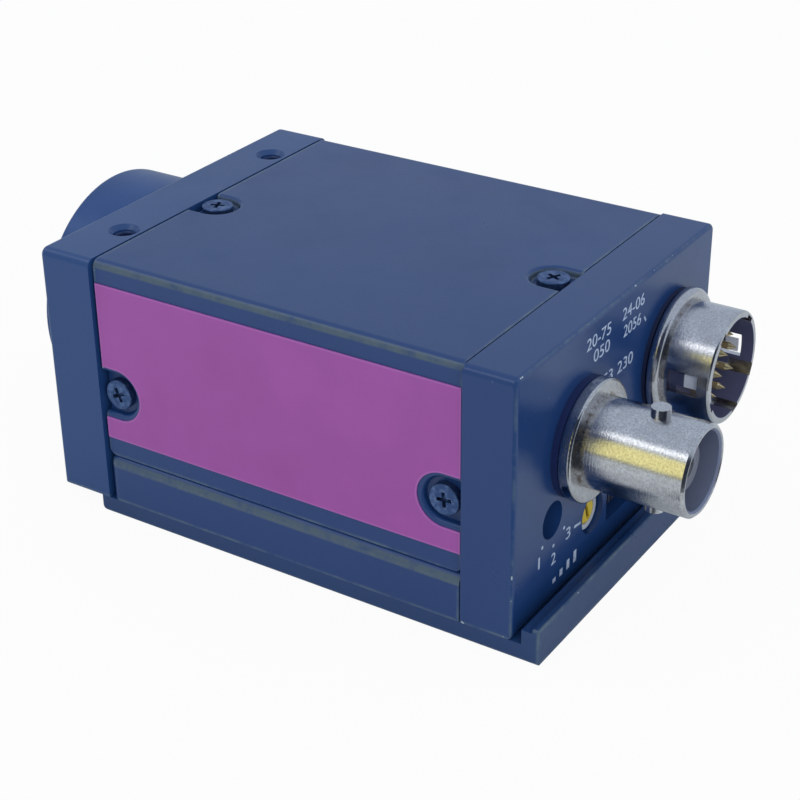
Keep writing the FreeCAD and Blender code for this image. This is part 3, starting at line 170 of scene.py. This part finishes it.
# The camera stands at these angles round the middle of the housing, level to half a degree.
aim = Vector((0, -3.5, 16.5)) * MM
azimuth, elevation, roll = (math.radians(angle) for angle in (32.87, 28.36, -0.57))
side_step, rise, distance = -1.30 * MM, -4.93 * MM, 203.46 * MM
outward = math.cos(elevation)
back = Vector((outward * math.cos(azimuth), outward * math.sin(azimuth), math.sin(elevation)))
level = (-back).cross(Vector((0, 0, 1))).normalized()
upright = level.cross(-back)
right = level * math.cos(roll) + upright * math.sin(roll)
up = upright * math.cos(roll) - level * math.sin(roll)
lens = bpy.data.cameras.new("view")
lens.lens = 81.99
lens.sensor_width = 36
lens.clip_start = 0.01
eye = bpy.data.objects.new("view", lens)
scene.collection.objects.link(eye)
eye.matrix_world = Matrix((right, up, back)).transposed().to_4x4()
eye.location = aim - right * side_step + up * rise + back * distance
scene.camera = eye

# ---------------------------------------------------------------- front_block
# The block that carries the lens mount: cast aluminium, sprayed a deep satin blue that has chipped to bare
# metal at a few points of its edges. Its blue is painted lighter than the rest, as painted light for the
# weaker light that reaches the front.


def ink(red, green, blue):
    """The linear colour, with alpha 1, of an sRGB colour given in steps of 1/255: cut 0.04045, power 2.4."""
    shares = np.array([red, green, blue]) / 255
    linear = np.where(shares <= 0.04045, shares / 12.92, ((shares + 0.055) / 1.055) ** 2.4)
    return (*linear.tolist(), 1.0)


def shade(colour, share):
    """The colour with its three parts multiplied by share, none over 1."""
    return tuple(min(1, share * part) for part in colour[:3]) + (1,)


def coated(name, **inputs):
    """A new material with those inputs of its main shader. Gives it with its node tree, its shader, and the
    place of a point on the piece."""
    made = bpy.data.materials.new(name)
    made.use_nodes = True
    shader = made.node_tree.nodes["Principled BSDF"]
    for key, value in inputs.items():
        shader.inputs[key.replace("_", " ")].default_value = value
    return made, made.node_tree, shader, feed(made.node_tree, "TexCoord").outputs["Object"]


def times(tree, first, second):
    """first multiplied by second."""
    return math_of(tree, "MULTIPLY", first, second)


def spread(tree, value, low, high):
    """0 up to low, rising smoothly to 1 at high."""
    limits = {"Value": value, "From Min": low, "From Max": high}
    return feed(tree, "MapRange", limits, interpolation_type="SMOOTHSTEP").outputs[0]


def fade(tree, value, low, high):
    """1 up to low, falling smoothly to 0 at high."""
    return math_of(tree, "SUBTRACT", 1.0, spread(tree, value, low, high))


def between(tree, share, low, high):
    """low at share 0 and high at share 1."""
    return feed(tree, "MapRange", {"Value": share, "To Min": low, "To Max": high}).outputs[0]


def cloud(tree, where, scale, detail=2.0, rough=0.5):
    """Noise from 0 to 1 over that place, scale waves to the metre."""
    settings = {"Vector": where, "Scale": scale, "Detail": detail, "Roughness": rough}
    return feed(tree, "TexNoise", settings).outputs[0]


def cells(tree, where, scale):
    """How far a point is from the nearest of the points strewn over that place, scale cells to the metre."""
    return feed(tree, "TexVoronoi", {"Vector": where, "Scale": scale}).outputs["Distance"]


def axes_of(tree, where):
    """The outputs X, Y and Z of a place."""
    return feed(tree, "SeparateXYZ", {0: where}).outputs


def finish(tree, shader, **outputs):
    """Links each output to the shader's input of that name."""
    for key, value in outputs.items():
        tree.links.new(value, shader.inputs[key.replace("_", " ")])


def relief(tree, height, strength, depth):
    """The normal of a surface bumped by height, where 1 stands for that depth in metres."""
    return feed(tree, "Bump", {"Height": height, "Strength": strength, "Distance": depth}).outputs[0]


def edge_reach(tree, where, corners):
    """How far a point is from the nearest edge of the box between two corners: the middle one of its three
    distances to the nearest wall along X, Y and Z."""
    axes = axes_of(tree, where)
    walls = [math_of(tree, "MINIMUM", math_of(tree, "SUBTRACT", axes[i], corners[0][i]),
                     math_of(tree, "SUBTRACT", corners[1][i], axes[i])) for i in range(3)]
    small = math_of(tree, "MINIMUM", walls[0], walls[1])
    large = math_of(tree, "MAXIMUM", walls[0], walls[1])
    return math_of(tree, "MAXIMUM", small, math_of(tree, "MINIMUM", large, walls[2]))


NAVY = (0.013, 0.046, 0.162, 1)
# The navy made lighter for the front block: painted light, for the weaker light at the front.
LIGHTENED_FRONT_NAVY = (0.016, 0.056, 0.184, 1)
BARE_METAL = ink(176, 190, 196)
# Pale grey green of the paint near edges: wear, and a painted edge highlight as well.
EDGE_WEAR_AND_SHEEN = ink(100, 118, 122)
# Painted reflection: the dull grey green given to the rounded edges of the cover and the tray.
SHOULDER_SHEEN = ink(88, 102, 104)
DUST = ink(120, 135, 170)


def satin_paint(name, corners, colour=NAVY, rough=0.30, chips=0.66, sheen_band=None):
    """Sprayed paint: a fine grain, slow drifts of tone and dust specks. Within 0.42 mm of the edges of the
    box between those corners it is rubbed pale, partly wear and partly a painted grey-green edge highlight,
    and chipped where noise beats the level chips. The last argument, two heights, bounds a band along a
    rounded edge that gets a painted dull grey-green reflection."""
    made, tree, shader, where = coated(name, Specular_IOR_Level=0.5, IOR=1.5)
    drift = spread(tree, cloud(tree, where, 70, 3), 0.3, 0.7)
    tone = blend(tree, drift, shade(colour, 0.97), shade(colour, 1.04))
    near = fade(tree, edge_reach(tree, where, corners), 0.05 * MM, 0.42 * MM)
    # Near the edges the paint is rubbed pale: wear, and a painted edge highlight as well.
    rub = times(tree, near, spread(tree, cloud(tree, where, 260, 4, 0.7), 0.3, 0.7))
    tone = blend(tree, times(tree, rub, 0.62), tone, EDGE_WEAR_AND_SHEEN)
    # Painted reflection: a dull grey-green band on a rounded edge between the two given heights, broken by
    # noise.
    if sheen_band:
        low, high = sheen_band
        height = axes_of(tree, where)[2]
        soft = 0.25 * MM
        band = times(tree, spread(tree, height, low, low + soft), fade(tree, height, high - soft, high))
        sheen_share = times(tree, band, spread(tree, cloud(tree, where, 420, 4, 0.7), 0.15, 0.6))
        tone = blend(tree, times(tree, sheen_share, 0.7), tone, SHOULDER_SHEEN)
    spots = spread(tree, cloud(tree, where, 900, 3, 0.6), chips, chips + 0.02)
    tone = blend(tree, times(tree, spread(tree, near, 0.55, 0.75), spots), tone, BARE_METAL)
    speck = times(tree, fade(tree, cells(tree, where, 260), 0.03, 0.05),
                  spread(tree, cloud(tree, where, 300), 0.55, 0.7))
    tone = blend(tree, times(tree, speck, 0.35), tone, DUST)
    wear = spread(tree, cloud(tree, where, 150, 4, 0.65), 0.3, 0.8)
    finish(tree, shader, Base_Color=tone, Roughness=between(tree, wear, rough - 0.03, rough + 0.06),
           Normal=relief(tree, cloud(tree, where, 4200, 3, 0.6), 0.22, 0.02 * MM))
    return made


def dress(material, *names):
    """Gives the objects of those CAD nodes that one material."""
    for name in names:
        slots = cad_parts[name].data.materials
        slots.clear()
        slots.append(material)


dress(satin_paint("front_block_paint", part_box("front_block"), LIGHTENED_FRONT_NAVY), "front_block")

# ---------------------------------------------------------------- rear_block
# The block that carries the connectors: the same casting, with a smoother rear face that mirrors what stands
# on it.

dress(satin_paint("rear_block_paint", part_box("rear_block"), rough=0.23), "rear_block")

# ---------------------------------------------------------------- top_cover, lower_tray and base_plate
# Folded and milled sheet, sprayed like the blocks. The rounded edges of the cover and the tray carry a
# painted dull grey-green reflection, and the plate is a little darker than the rest.

PLATE_BLUE = (0.012, 0.043, 0.140, 1)
cover_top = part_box("top_cover")[1].z
# Heights of the painted reflection bands on the rounded top edges of the cover and the tray.
cover_sheen_band = (cover_top - 0.95 * MM, cover_top - 0.10 * MM)
tray_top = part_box("lower_tray")[1].z
tray_sheen_band = (tray_top - 1.35 * MM, tray_top - 0.25 * MM)
dress(satin_paint("cover_paint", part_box("top_cover"), chips=0.72, sheen_band=cover_sheen_band), "top_cover")
dress(satin_paint("tray_paint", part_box("lower_tray"), chips=0.70, sheen_band=tray_sheen_band), "lower_tray")
dress(satin_paint("plate_paint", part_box("base_plate"), PLATE_BLUE, chips=0.68), "base_plate")

# ---------------------------------------------------------------- side_label
# A sheet of magenta vinyl, stuck to the right side and trimmed round both screw pockets. Its cut edges show
# a little paler, partly as a painted highlight, and it is left blank.

MAGENTA = (0.350, 0.076, 0.340, 1)
PRICK = ink(70, 48, 104)
# Paler rim colour: the cut edge of the vinyl, and a painted highlight as well.
CUT_EDGE_AND_HIGHLIGHT = ink(190, 128, 196)
label_cut = 3.07 * MM


def length_of(tree, first, second):
    """The length of the flat vector (first, second)."""
    squares = math_of(tree, "ADD", times(tree, first, first), times(tree, second, second))
    return math_of(tree, "SQRT", squares)


def slot_reach(tree, where, screw, seam):
    """How far a point of the side lies outside a screw's slot, which is round the screw (y, z) as far as the
    label's cut, and straight from there to the seam at that y."""
    axes = axes_of(tree, where)
    inward = 1 if screw[0] > seam else -1
    past = times(tree, math_of(tree, "SUBTRACT", axes[1], screw[0]), inward)
    along = math_of(tree, "MAXIMUM", past, 0.0)
    upward = math_of(tree, "SUBTRACT", axes[2], screw[1])
    return math_of(tree, "SUBTRACT", length_of(tree, along, upward), label_cut)


def vinyl(name, colour, corners, screws):
    """Satin film: faint mottling, a few dark pricks, and a paler rim all round and along the screws' slots:
    its cut edge, and a painted highlight as well."""
    made, tree, shader, where = coated(name, Roughness=0.34, Specular_IOR_Level=0.45)
    mottle = spread(tree, cloud(tree, where, 110, 4, 0.6), 0.3, 0.7)
    tone = blend(tree, mottle, shade(colour, 0.95), shade(colour, 1.05))
    prick = times(tree, fade(tree, cells(tree, where, 170), 0.03, 0.045),
                  spread(tree, cloud(tree, where, 210), 0.6, 0.66))
    tone = blend(tree, times(tree, prick, 0.7), tone, PRICK)
    reach = edge_reach(tree, where, corners)
    for screw in screws:
        seam = min((corners[0].y, corners[1].y), key=lambda end: abs(end - screw[0]))
        slot = math_of(tree, "ABSOLUTE", slot_reach(tree, where, screw, seam))
        reach = math_of(tree, "MINIMUM", reach, slot)
    # A paler rim along the edges and the slots: cut edge, and painted highlight as well.
    rim = fade(tree, reach, 0.12 * MM, 0.24 * MM)
    tone = blend(tree, times(tree, rim, 0.25), tone, CUT_EDGE_AND_HIGHLIGHT)
    weave = times(tree, cloud(tree, where, 3600, 2), 0.05)
    height = math_of(tree, "ADD", cloud(tree, where, 160, 2), weave)
    finish(tree, shader, Base_Color=tone, Normal=relief(tree, height, 0.25, 0.06 * MM))
    return made


side_low, side_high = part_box("right_side_screws")
head_radius = 1.75 * MM
side_middle = (side_low.z + side_high.z) / 2
side_screws = [(side_low.y + head_radius, side_middle), (side_high.y - head_radius, side_middle)]
dress(vinyl("label_vinyl", MAGENTA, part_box("side_label"), side_screws), "side_label")

# ---------------------------------------------------------------- housing screws
# Cross-recessed screws of blackened steel, driven into the two blocks. The driver has rubbed their crowns
# pale.


def worn_steel(name, dark, pale):
    """Blackened metal: smoother pale metal shows where fine noise is high."""
    made, tree, shader, where = coated(name, Metallic=0.85)
    rub = spread(tree, cloud(tree, where, 1500, 4, 0.65), 0.42, 0.72)
    finish(tree, shader, Base_Color=blend(tree, rub, dark, pale), Roughness=between(tree, rub, 0.42, 0.32),
           Normal=relief(tree, cloud(tree, where, 5000, 2), 0.2, 0.01 * MM))
    return made


dress(worn_steel("blackened_screws", ink(64, 88, 132), ink(104, 128, 170)),
      "top_screws", "right_side_screws", "left_side_screws", "base_plate_screws")

# ---------------------------------------------------------------- threads in the housing
# Fine threads, cut before the housing was sprayed and so as blue as the rest: the two holes in the roof of
# the front block, and the tripod hole in the plate.


def thread(name, mouth, axis, radius, depth, pitch, height, material, steps=64):
    """Ridges on a bore's wall: along a helix with one turn a pitch, the radius falls from the wall by height
    at each crest and returns, as a triangle wave of the distance along the axis. A turn has that many
    steps."""
    axis = Vector(axis).normalized()
    first = axis.orthogonal().normalized()
    second = axis.cross(first)
    turns = depth / pitch - 1
    angle, rib = np.meshgrid(np.linspace(0, 2 * np.pi * turns, int(steps * turns) + 1), np.linspace(0, 1, 5),
                             indexing="ij")
    inward = radius - height * (1 - np.abs(2 * rib - 1))
    along = (angle / (2 * np.pi) + rib) * pitch
    points = (np.array(mouth) + np.cos(angle)[..., None] * inward[..., None] * np.array(first)
              + np.sin(angle)[..., None] * inward[..., None] * np.array(second)
              - along[..., None] * np.array(axis)).reshape(-1, 3)
    rows, columns = angle.shape
    start = (np.arange(rows - 1)[:, None] * columns + np.arange(columns - 1)).ravel()
    made = surface(name, points, np.stack([start, start + 1, start + columns + 1, start + columns], 1))
    made.data.shade_smooth()
    made.data.materials.append(material)
    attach(made, "camera")


CUT_BLUE = (0.016, 0.036, 0.125, 1)
cut_paint = satin_paint("cut_thread_paint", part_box("front_block"), CUT_BLUE, rough=0.38, chips=0.9)
roof_low, roof_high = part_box("front_block")
roof_hole_y = roof_low.y + 4.6 * MM
roof_mouth_z = roof_high.z - 0.45 * MM
for side, x in (("right", 13.5 * MM), ("left", -13.5 * MM)):
    thread(f"roof_thread_{side}", (x, roof_hole_y, roof_mouth_z), (0, 0, 1), radius=1.245 * MM,
           depth=4.4 * MM, pitch=0.5 * MM, height=0.16 * MM, material=cut_paint,
           steps=32)
thread("tripod_thread", (0, 0, 0.05 * MM), (0, 0, -1), radius=2.545 * MM, depth=1.9 * MM, pitch=0.9 * MM,
       height=0.3 * MM, material=cut_paint)

# ---------------------------------------------------------------- lens_mount_ring and filter
# A turned ring, anodised dark blue, with its thread cut inside. At the bottom of its bore a black ring holds
# a glass filter.


def anodised(name, colour, rough=0.34):
    """Dyed turned metal: fine rings across Y in the bump and the gloss, and slow drifts of tone."""
    made, tree, shader, where = coated(name, Metallic=0.35, Specular_IOR_Level=0.5)
    drift = spread(tree, cloud(tree, where, 90, 3), 0.3, 0.7)
    turned = feed(tree, "Mapping", {"Vector": where, "Scale": (0.02, 1, 0.02)}).outputs[0]
    rings = cloud(tree, turned, 9000, 2)
    finish(tree, shader, Base_Color=blend(tree, drift, shade(colour, 0.92), shade(colour, 1.1)),
           Roughness=between(tree, rings, rough - 0.05, rough + 0.08),
           Normal=relief(tree, rings, 0.15, 0.01 * MM))
    return made


ring_finish = anodised("mount_anodising", (0.030, 0.078, 0.230, 1))
dress(ring_finish, "lens_mount_ring")
dress(anodised("holder_anodising", (0.012, 0.014, 0.020, 1), 0.5), "filter_holder", "filter_retainer")
ring_low, ring_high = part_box("lens_mount_ring")
ring_mouth = (0, ring_low.y + 0.3 * MM, (ring_low.z + ring_high.z) / 2)
thread("lens_thread", ring_mouth, (0, -1, 0), radius=12.295 * MM, depth=4.1 * MM, pitch=0.794 * MM,
       height=0.36 * MM, material=ring_finish, steps=96)

glass, tree, shader, where = coated("filter_glass", Base_Color=(0.80, 0.94, 0.97, 1), IOR=1.52,
                                    Transmission_Weight=1.0, Coat_Weight=0.4, Coat_Roughness=0.03)
smear = spread(tree, cloud(tree, where, 300, 3), 0.4, 0.8)
finish(tree, shader, Roughness=between(tree, smear, 0.01, 0.05))
dress(glass, "filter_glass", "sensor_window")

# ---------------------------------------------------------------- sensor and its board
# A silicon die in a ceramic package, plugged into a black socket on a small laminate board. Four tinned
# posts and their screws carry the board.


def mottled(name, colour, rough, scale=800, amount=0.08, metal=0.0):
    """A plain moulded or plated finish: tone and roughness follow noise of that scale, the tone by that
    amount."""
    made, tree, shader, where = coated(name, Metallic=metal)
    patch = cloud(tree, where, scale, 3, 0.6)
    finish(tree, shader, Base_Color=blend(tree, patch, shade(colour, 1 - amount), shade(colour, 1 + amount)),
           Roughness=between(tree, patch, rough - 0.05, rough + 0.08),
           Normal=relief(tree, cloud(tree, where, scale * 5, 2), 0.1, 0.02 * MM))
    return made


die, tree, shader, where = coated("silicon_die", Metallic=0.7, Roughness=0.12, Coat_Weight=0.6,
                                  Coat_Roughness=0.05)
laid = feed(tree, "Mapping", {"Vector": where, "Rotation": (math.pi / 2, 0, 0)}).outputs[0]
light_cells = feed(tree, "TexBrick", {"Vector": laid, "Scale": 4000, "Mortar Size": 0.03,
                                      "Color1": ink(88, 70, 120), "Color2": ink(64, 84, 126),
                                      "Mortar": ink(40, 44, 60)})
finish(tree, shader, Base_Color=light_cells.outputs["Color"])
dress(die, "sensor_die")
dress(mottled("sensor_ceramic", ink(92, 74, 84), 0.5), "sensor_package")
dress(mottled("black_plastic", ink(30, 31, 36), 0.45), "sensor_socket", "board_headers")
bright_metal = mottled("tinned_metal", ink(196, 196, 192), 0.25, metal=1.0)
dress(bright_metal, "sensor_posts", "sensor_board_screws", "rear_board_posts", "rear_board_screws",
      "lower_pillars", "upper_pillars", "board_screws")


def circuit(name, turned):
    """A laminate board: green resist over paler copper tracks in a brick grid, with round tinned pads. The
    pattern is turned by those angles to lie along the board."""
    made, tree, shader, where = coated(name, Roughness=0.35, Coat_Weight=0.4, Coat_Roughness=0.15)
    laid = feed(tree, "Mapping", {"Vector": where, "Rotation": turned}).outputs[0]
    tracks = feed(tree, "TexBrick", {"Vector": laid, "Scale": 420, "Mortar Size": 0.05, "Row Height": 0.18,
                                     "Brick Width": 1.7, "Color1": ink(22, 82, 52),
                                     "Color2": ink(26, 96, 60), "Mortar": ink(58, 132, 78)})
    pads = fade(tree, cells(tree, laid, 520), 0.12, 0.15)
    finish(tree, shader, Base_Color=blend(tree, pads, tracks.outputs["Color"], ink(190, 186, 168)),
           Normal=relief(tree, tracks.outputs["Fac"], 0.3, 0.03 * MM))
    return made


dress(circuit("upright_board", (math.pi / 2, 0, 0)), "sensor_board", "rear_board")

# ---------------------------------------------------------------- coaxial output
# A bayonet jack turned in brass and nickel plated, with a white core, painted grey as painted shade, round
# a dull slotted contact, and a dark bush between it and the panel. Grime has gathered where the barrel meets
# the flange.

GRIME = ink(138, 120, 106)
FLECK = ink(186, 184, 184)


def plated(name, axis, bore, barrel, root, bright, rough, grime, inside):
    """Worn nickel: turning lines across Y, pale flecks, fine pits, and brown grime on the barrel in a band
    1.3 mm long from root along Y. Within bore of the axis (x, z) the wall is dull and has the colour
    inside: painted light and reflection for the shaded bore, in place of bare nickel."""
    made, tree, shader, where = coated(name)
    axes = axes_of(tree, where)
    patch = cloud(tree, where, 420, 4, 0.65)
    tone = blend(tree, spread(tree, patch, 0.3, 0.75), shade(bright, 0.84), shade(bright, 1.08))
    sideways = math_of(tree, "SUBTRACT", axes[0], axis[0])
    upwards = math_of(tree, "SUBTRACT", axes[2], axis[1])
    radius = length_of(tree, sideways, upwards)
    band = times(tree, spread(tree, axes[1], root - 0.25 * MM, root),
                 fade(tree, axes[1], root, root + 1.3 * MM))
    band = times(tree, band, fade(tree, radius, barrel + 0.2 * MM, barrel + 0.5 * MM))
    dirt = times(tree, band, spread(tree, cloud(tree, where, 1500, 5, 0.75), 0.42, 0.66))
    tone = blend(tree, spread(tree, cloud(tree, where, 4400, 4, 0.8), 0.35, 0.65), FLECK, tone)
    pits = times(tree, spread(tree, cloud(tree, where, 3600, 4, 0.75), 0.56, 0.70),
                 spread(tree, patch, 0.35, 0.6))
    stain = math_of(tree, "MAXIMUM", times(tree, dirt, 0.8 * grime), times(tree, pits, 0.45 * grime))
    tone = blend(tree, stain, tone, GRIME)
    outside = spread(tree, radius, bore + 0.02 * MM, bore + 0.10 * MM)
    stained = math_of(tree, "ADD", times(tree, stain, 0.3), between(tree, patch, rough - 0.06, rough + 0.12))
    dull = times(tree, math_of(tree, "SUBTRACT", 1.0, outside), 0.3)
    stretched = feed(tree, "Mapping", {"Vector": where, "Scale": (0.05, 1, 0.05)}).outputs[0]
    lines = cloud(tree, stretched, 5200, 3)
    grit = times(tree, cloud(tree, where, 5200, 4, 0.8), 1.4)
    height = math_of(tree, "ADD", math_of(tree, "ADD", lines, grit), times(tree, patch, 0.5))
    finish(tree, shader, Base_Color=blend(tree, outside, inside, tone),
           Metallic=math_of(tree, "MAXIMUM", outside, 0.25), Roughness=math_of(tree, "ADD", stained, dull),
           Normal=relief(tree, height, 0.35, 0.018 * MM))
    return made


def axis_of(name):
    """The middle (x, z) of a CAD node that is round about Y."""
    low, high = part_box(name)
    return (low.x + high.x) / 2, (low.z + high.z) / 2


panel_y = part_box("rear_block")[1].y
# The inside of the barrel gets a light blue grey: painted light and reflection in the shaded bore.
coax_nickel = plated("coax_nickel", axis_of("coax_shell"), bore=4.25 * MM, barrel=4.83 * MM,
                     root=panel_y + 2.15 * MM, bright=(0.74, 0.74, 0.74), rough=0.12, grime=1.0,
                     inside=ink(118, 126, 152))
dress(coax_nickel, "coax_shell", "coax_nut")
dress(mottled("coax_bush_nylon", ink(24, 38, 84), 0.4), "coax_bush")
# The core is white PTFE, painted grey: painted shade deep in the jack.
dress(mottled("coax_core_grey", ink(116, 118, 132), 0.5, 500, 0.05), "coax_dielectric")
dress(mottled("dull_contact", ink(96, 98, 104), 0.5, 1200, metal=0.5), "coax_contact")

# ---------------------------------------------------------------- 12-pin receptacle
# A plated shell on a rubber gasket, with latch windows on both sides, a sprung ring inside, and a dark insert
# that carries the pins. Deep in the shell the pale sprung ring is painted dark, as painted shade.


def inked(name, base, mark_and_shade, centre, shown, rough=0.4):
    """A finish in the colour base, with the second colour where the share that shown works out from the
    offsets
    along X, Y and Z from that centre is 1: the trimmer's notches, and painted shade deep in the latch ring
    and in the rotor's slot."""
    made, tree, shader, where = coated(name, Roughness=rough)
    offsets = axes_of(tree, feed(tree, "Mapping", {"Vector": where, "Location": -centre}).outputs[0])
    grain = cloud(tree, where, 900, 3, 0.6)
    tone = blend(tree, grain, shade(base, 0.88), shade(base, 1.1))
    finish(tree, shader, Base_Color=blend(tree, shown(tree, offsets), tone, mark_and_shade),
           Normal=relief(tree, grain, 0.1, 0.02 * MM))
    return made


def shade_behind(tree, offsets):
    """Painted shade: 1 where the surface lies 0.1 mm or more behind the centre, and 0 in front of it."""
    return fade(tree, offsets[1], -0.1 * MM, 0)


pin_axis = axis_of("multipin_shell")
# The inside of the shell gets a blue grey: painted light and reflection in the shaded bore.
pin_nickel = plated("multipin_nickel", pin_axis, bore=5.5 * MM, barrel=6.25 * MM, root=panel_y + 1.9 * MM,
                    bright=(0.72, 0.72, 0.74), rough=0.14, grime=0.5, inside=ink(84, 86, 118))
dress(pin_nickel, "multipin_shell", "multipin_nut")
# The sprung ring is pale steel; deeper than the tongue's bend it is painted dark, as painted shade inside the
# shell.
latch_shade_start = Vector((pin_axis[0], panel_y + 4.2 * MM, pin_axis[1]))
dress(inked("latch_steel_painted_shade", ink(204, 208, 220), ink(62, 66, 96), latch_shade_start, shade_behind, 0.35),
      "multipin_latch_ring")
dress(mottled("gasket_rubber", ink(26, 36, 70), 0.6), "multipin_gasket")
dress(mottled("insert_resin", ink(76, 76, 110), 0.5, 600, 0.12), "multipin_insert")
dress(mottled("gold_plating", ink(226, 206, 158), 0.22, 1200, metal=0.8), "multipin_pins")

# ---------------------------------------------------------------- gain selector
# A small rotary switch moulded in dark plastic. It sits at the bottom of its hole in the panel and is
# turned with a screwdriver.

dress(mottled("selector_housing", ink(28, 32, 48), 0.5), "gain_switch_body")
dress(mottled("selector_rotor", ink(44, 50, 74), 0.4), "gain_selector")

# ---------------------------------------------------------------- trimmer
# The trimmer for the gain, moulded in plastic: a yellow rotor whose slot for a screwdriver is painted darker,
# as painted shade, in a pale rim that has two dark notches.


def notches(tree, offsets):
    """1 within 0.2 mm of the line through the centre that falls from left to right as read, at 40 degrees,
    and 0 beyond 0.28 mm."""
    tilt = math.radians(40)
    across = math_of(tree, "ADD", times(tree, offsets[0], math.sin(tilt)),
                     times(tree, offsets[2], math.cos(tilt)))
    return fade(tree, math_of(tree, "ABSOLUTE", across), 0.2 * MM, 0.28 * MM)


def slot_shade(tree, offsets):
    """Painted shade in the slot: 1 where the surface lies 0.25 mm or more behind the centre, and 0 nearer
    than 0.12 mm.
    """
    return fade(tree, offsets[1], -0.25 * MM, -0.12 * MM)


trim_x, trim_z = axis_of("trimmer_body")
trim_face = Vector((trim_x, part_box("trimmer_body")[1].y, trim_z))
pale, dark_notch = ink(196, 200, 212), ink(40, 44, 66)
# The rotor's slot gets a darker copy of its yellow: painted shade.
yellow, shaded_yellow = ink(222, 192, 62), ink(126, 98, 34)
dress(inked("trimmer_body_plastic", pale, dark_notch, trim_face, notches), "trimmer_body")
dress(inked("trimmer_rotor_yellow", yellow, shaded_yellow, trim_face, slot_shade, 0.35), "trimmer_rotor")

# ---------------------------------------------------------------- sync switch
# A slide switch moulded in black plastic, behind its window in the panel: a ribbed knob that slides in a
# body.

dress(mottled("switch_body_plastic", ink(22, 26, 46), 0.5), "sync_switch_body")
dress(mottled("switch_knob_plastic", ink(36, 40, 60), 0.42), "sync_switch_slider")

# ---------------------------------------------------------------- boards inside
# Two laminate boards, stacked on tinned pillars, with their chips, capacitors, crystal and coil. None of
# them shows from outside.

dress(circuit("flat_board", (0, 0, 0)), "main_board", "upper_board")
dress(mottled("chip_resin", ink(34, 35, 38), 0.5, 2400), "processor_chips", "upper_chips")
dress(mottled("capacitor_sleeve", ink(44, 52, 88), 0.35), "capacitors")
dress(bright_metal, "crystal_can")
dress(mottled("coil_ferrite", ink(52, 50, 50), 0.6, 1500, 0.15), "power_coil")

# ---------------------------------------------------------------- printed marks
# Pale marks screen printed on the rear face, 20 micrometres thick: plain numbers, a dot at each place of the
# selector, a dash to the trimmer, a tick, and four rising bars.

print_ink, tree, shader, where = coated("print_ink", Roughness=0.5)
wear = spread(tree, cloud(tree, where, 2600, 4, 0.7), 0.25, 0.6)
finish(tree, shader, Base_Color=blend(tree, wear, ink(124, 142, 180), ink(190, 204, 226)))
print_height = 0.02 * MM


def laid_on(name, mesh):
    """The printed object of that mesh."""
    made = bpy.data.objects.new(name, mesh)
    scene.collection.objects.link(made)
    mesh.materials.clear()
    mesh.materials.append(print_ink)
    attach(made, "camera")


def printed(name, outlines):
    """Flat plates on the rear face. Each outline is points (x, z) in millimetres in order round it; the plate
    is that outline and its copy print_height above it, joined by walls."""
    points, faces = [], []
    for outline in outlines:
        flat = np.array(outline, float) * MM
        after = np.roll(flat, -1, axis=0)
        if np.sum(flat[:, 0] * after[:, 1] - after[:, 0] * flat[:, 1]) < 0:
            flat = flat[::-1]
        count = len(flat)
        ring = len(points) + np.arange(count)
        lid = ring + count
        walls = np.stack([lid, np.roll(lid, -1), np.roll(ring, -1), ring], 1)
        faces += [lid[::-1].tolist(), ring.tolist(), *walls.tolist()]
        for height in (0, print_height):
            points += np.stack([flat[:, 0], np.full(count, panel_y + height), flat[:, 1]], 1).tolist()
    mesh = bpy.data.meshes.new(name)
    mesh.from_pydata(points, [], faces)
    laid_on(name, mesh)


def stroke(start, end, width):
    """A bar of that width from start to end."""
    ends = np.array([start, end], float)
    run = ends[1] - ends[0]
    off = np.array([-run[1], run[0]]) / np.linalg.norm(run) * width / 2
    return [ends[0] + off, ends[1] + off, ends[1] - off, ends[0] - off]


def dot(centre, radius=0.2, sides=14):
    """A regular polygon round the centre."""
    angle = np.linspace(0, 2 * np.pi, sides, endpoint=False)
    return np.stack([centre[0] + radius * np.cos(angle), centre[1] + radius * np.sin(angle)], 1)


selector_dots = [dot((16.0, 9.6)), dot((13.6, 8.55)), dot((11.4, 9.5))]
trimmer_dash = stroke((9.1, 8.35), (7.7, 8.15), 0.3)
sync_tick = stroke((-5.0, 26.5), (-5.4, 25.9), 0.24)
bar_left, bar_low, bar_step, bar_width = 13.2, 3.9, 1.5, 0.6
bar_first, bar_rise = 0.5, 0.3
rising_bars = []
for i in range(4):
    bar_x = bar_left - bar_step * i
    rising_bars.append(stroke((bar_x, bar_low), (bar_x, bar_low + bar_first + bar_rise * i), bar_width))
printed("printed_symbols", [*selector_dots, trimmer_dash, sync_tick, *rising_bars])


def numeral(name, text, left, right, low, high):
    """A number on the rear face, fitted to the rectangle from x = left to right, as read, and z = low to
    high, in millimetres."""
    letters = bpy.data.curves.new(name, "FONT")
    letters.body = text
    letters.size = 1.0
    letters.extrude = 0.5
    source = bpy.data.objects.new(name, letters)
    mesh = bpy.data.meshes.new_from_object(source)
    bpy.data.objects.remove(source)
    spots = np.array([corner.co for corner in mesh.vertices])
    first, last = spots.min(0), spots.max(0)
    wide = (left - right) / (last[0] - first[0]) * MM
    tall = (high - low) / (last[1] - first[1]) * MM
    mesh.transform(Matrix(((-wide, 0, 0, left * MM + wide * first[0]),
                           (0, 0, print_height, panel_y + print_height / 2),
                           (0, tall, 0, low * MM - tall * first[1]),
                           (0, 0, 0, 1))))
    laid_on(name, mesh)


digit_height = 1.35
for name, text, left, right, low in (
        ("output_range", "20-75", 8.0, 2.8, 27.9), ("output_number", "050", 6.4, 2.9, 26.05),
        ("power_range", "24-06", 0.2, -4.8, 28.1), ("power_number", "2056", -0.2, -4.2, 26.05),
        ("sync_outer", "230", 0.8, -2.7, 22.3), ("sync_inner", "053", 5.3, 1.9, 22.3),
        ("select_one", "1", 16.75, 16.45, 7.4), ("select_two", "2", 13.95, 13.05, 6.3),
        ("select_three", "3", 10.9, 9.95, 7.7)):
    numeral(name, text, left, right, low, low + digit_height)
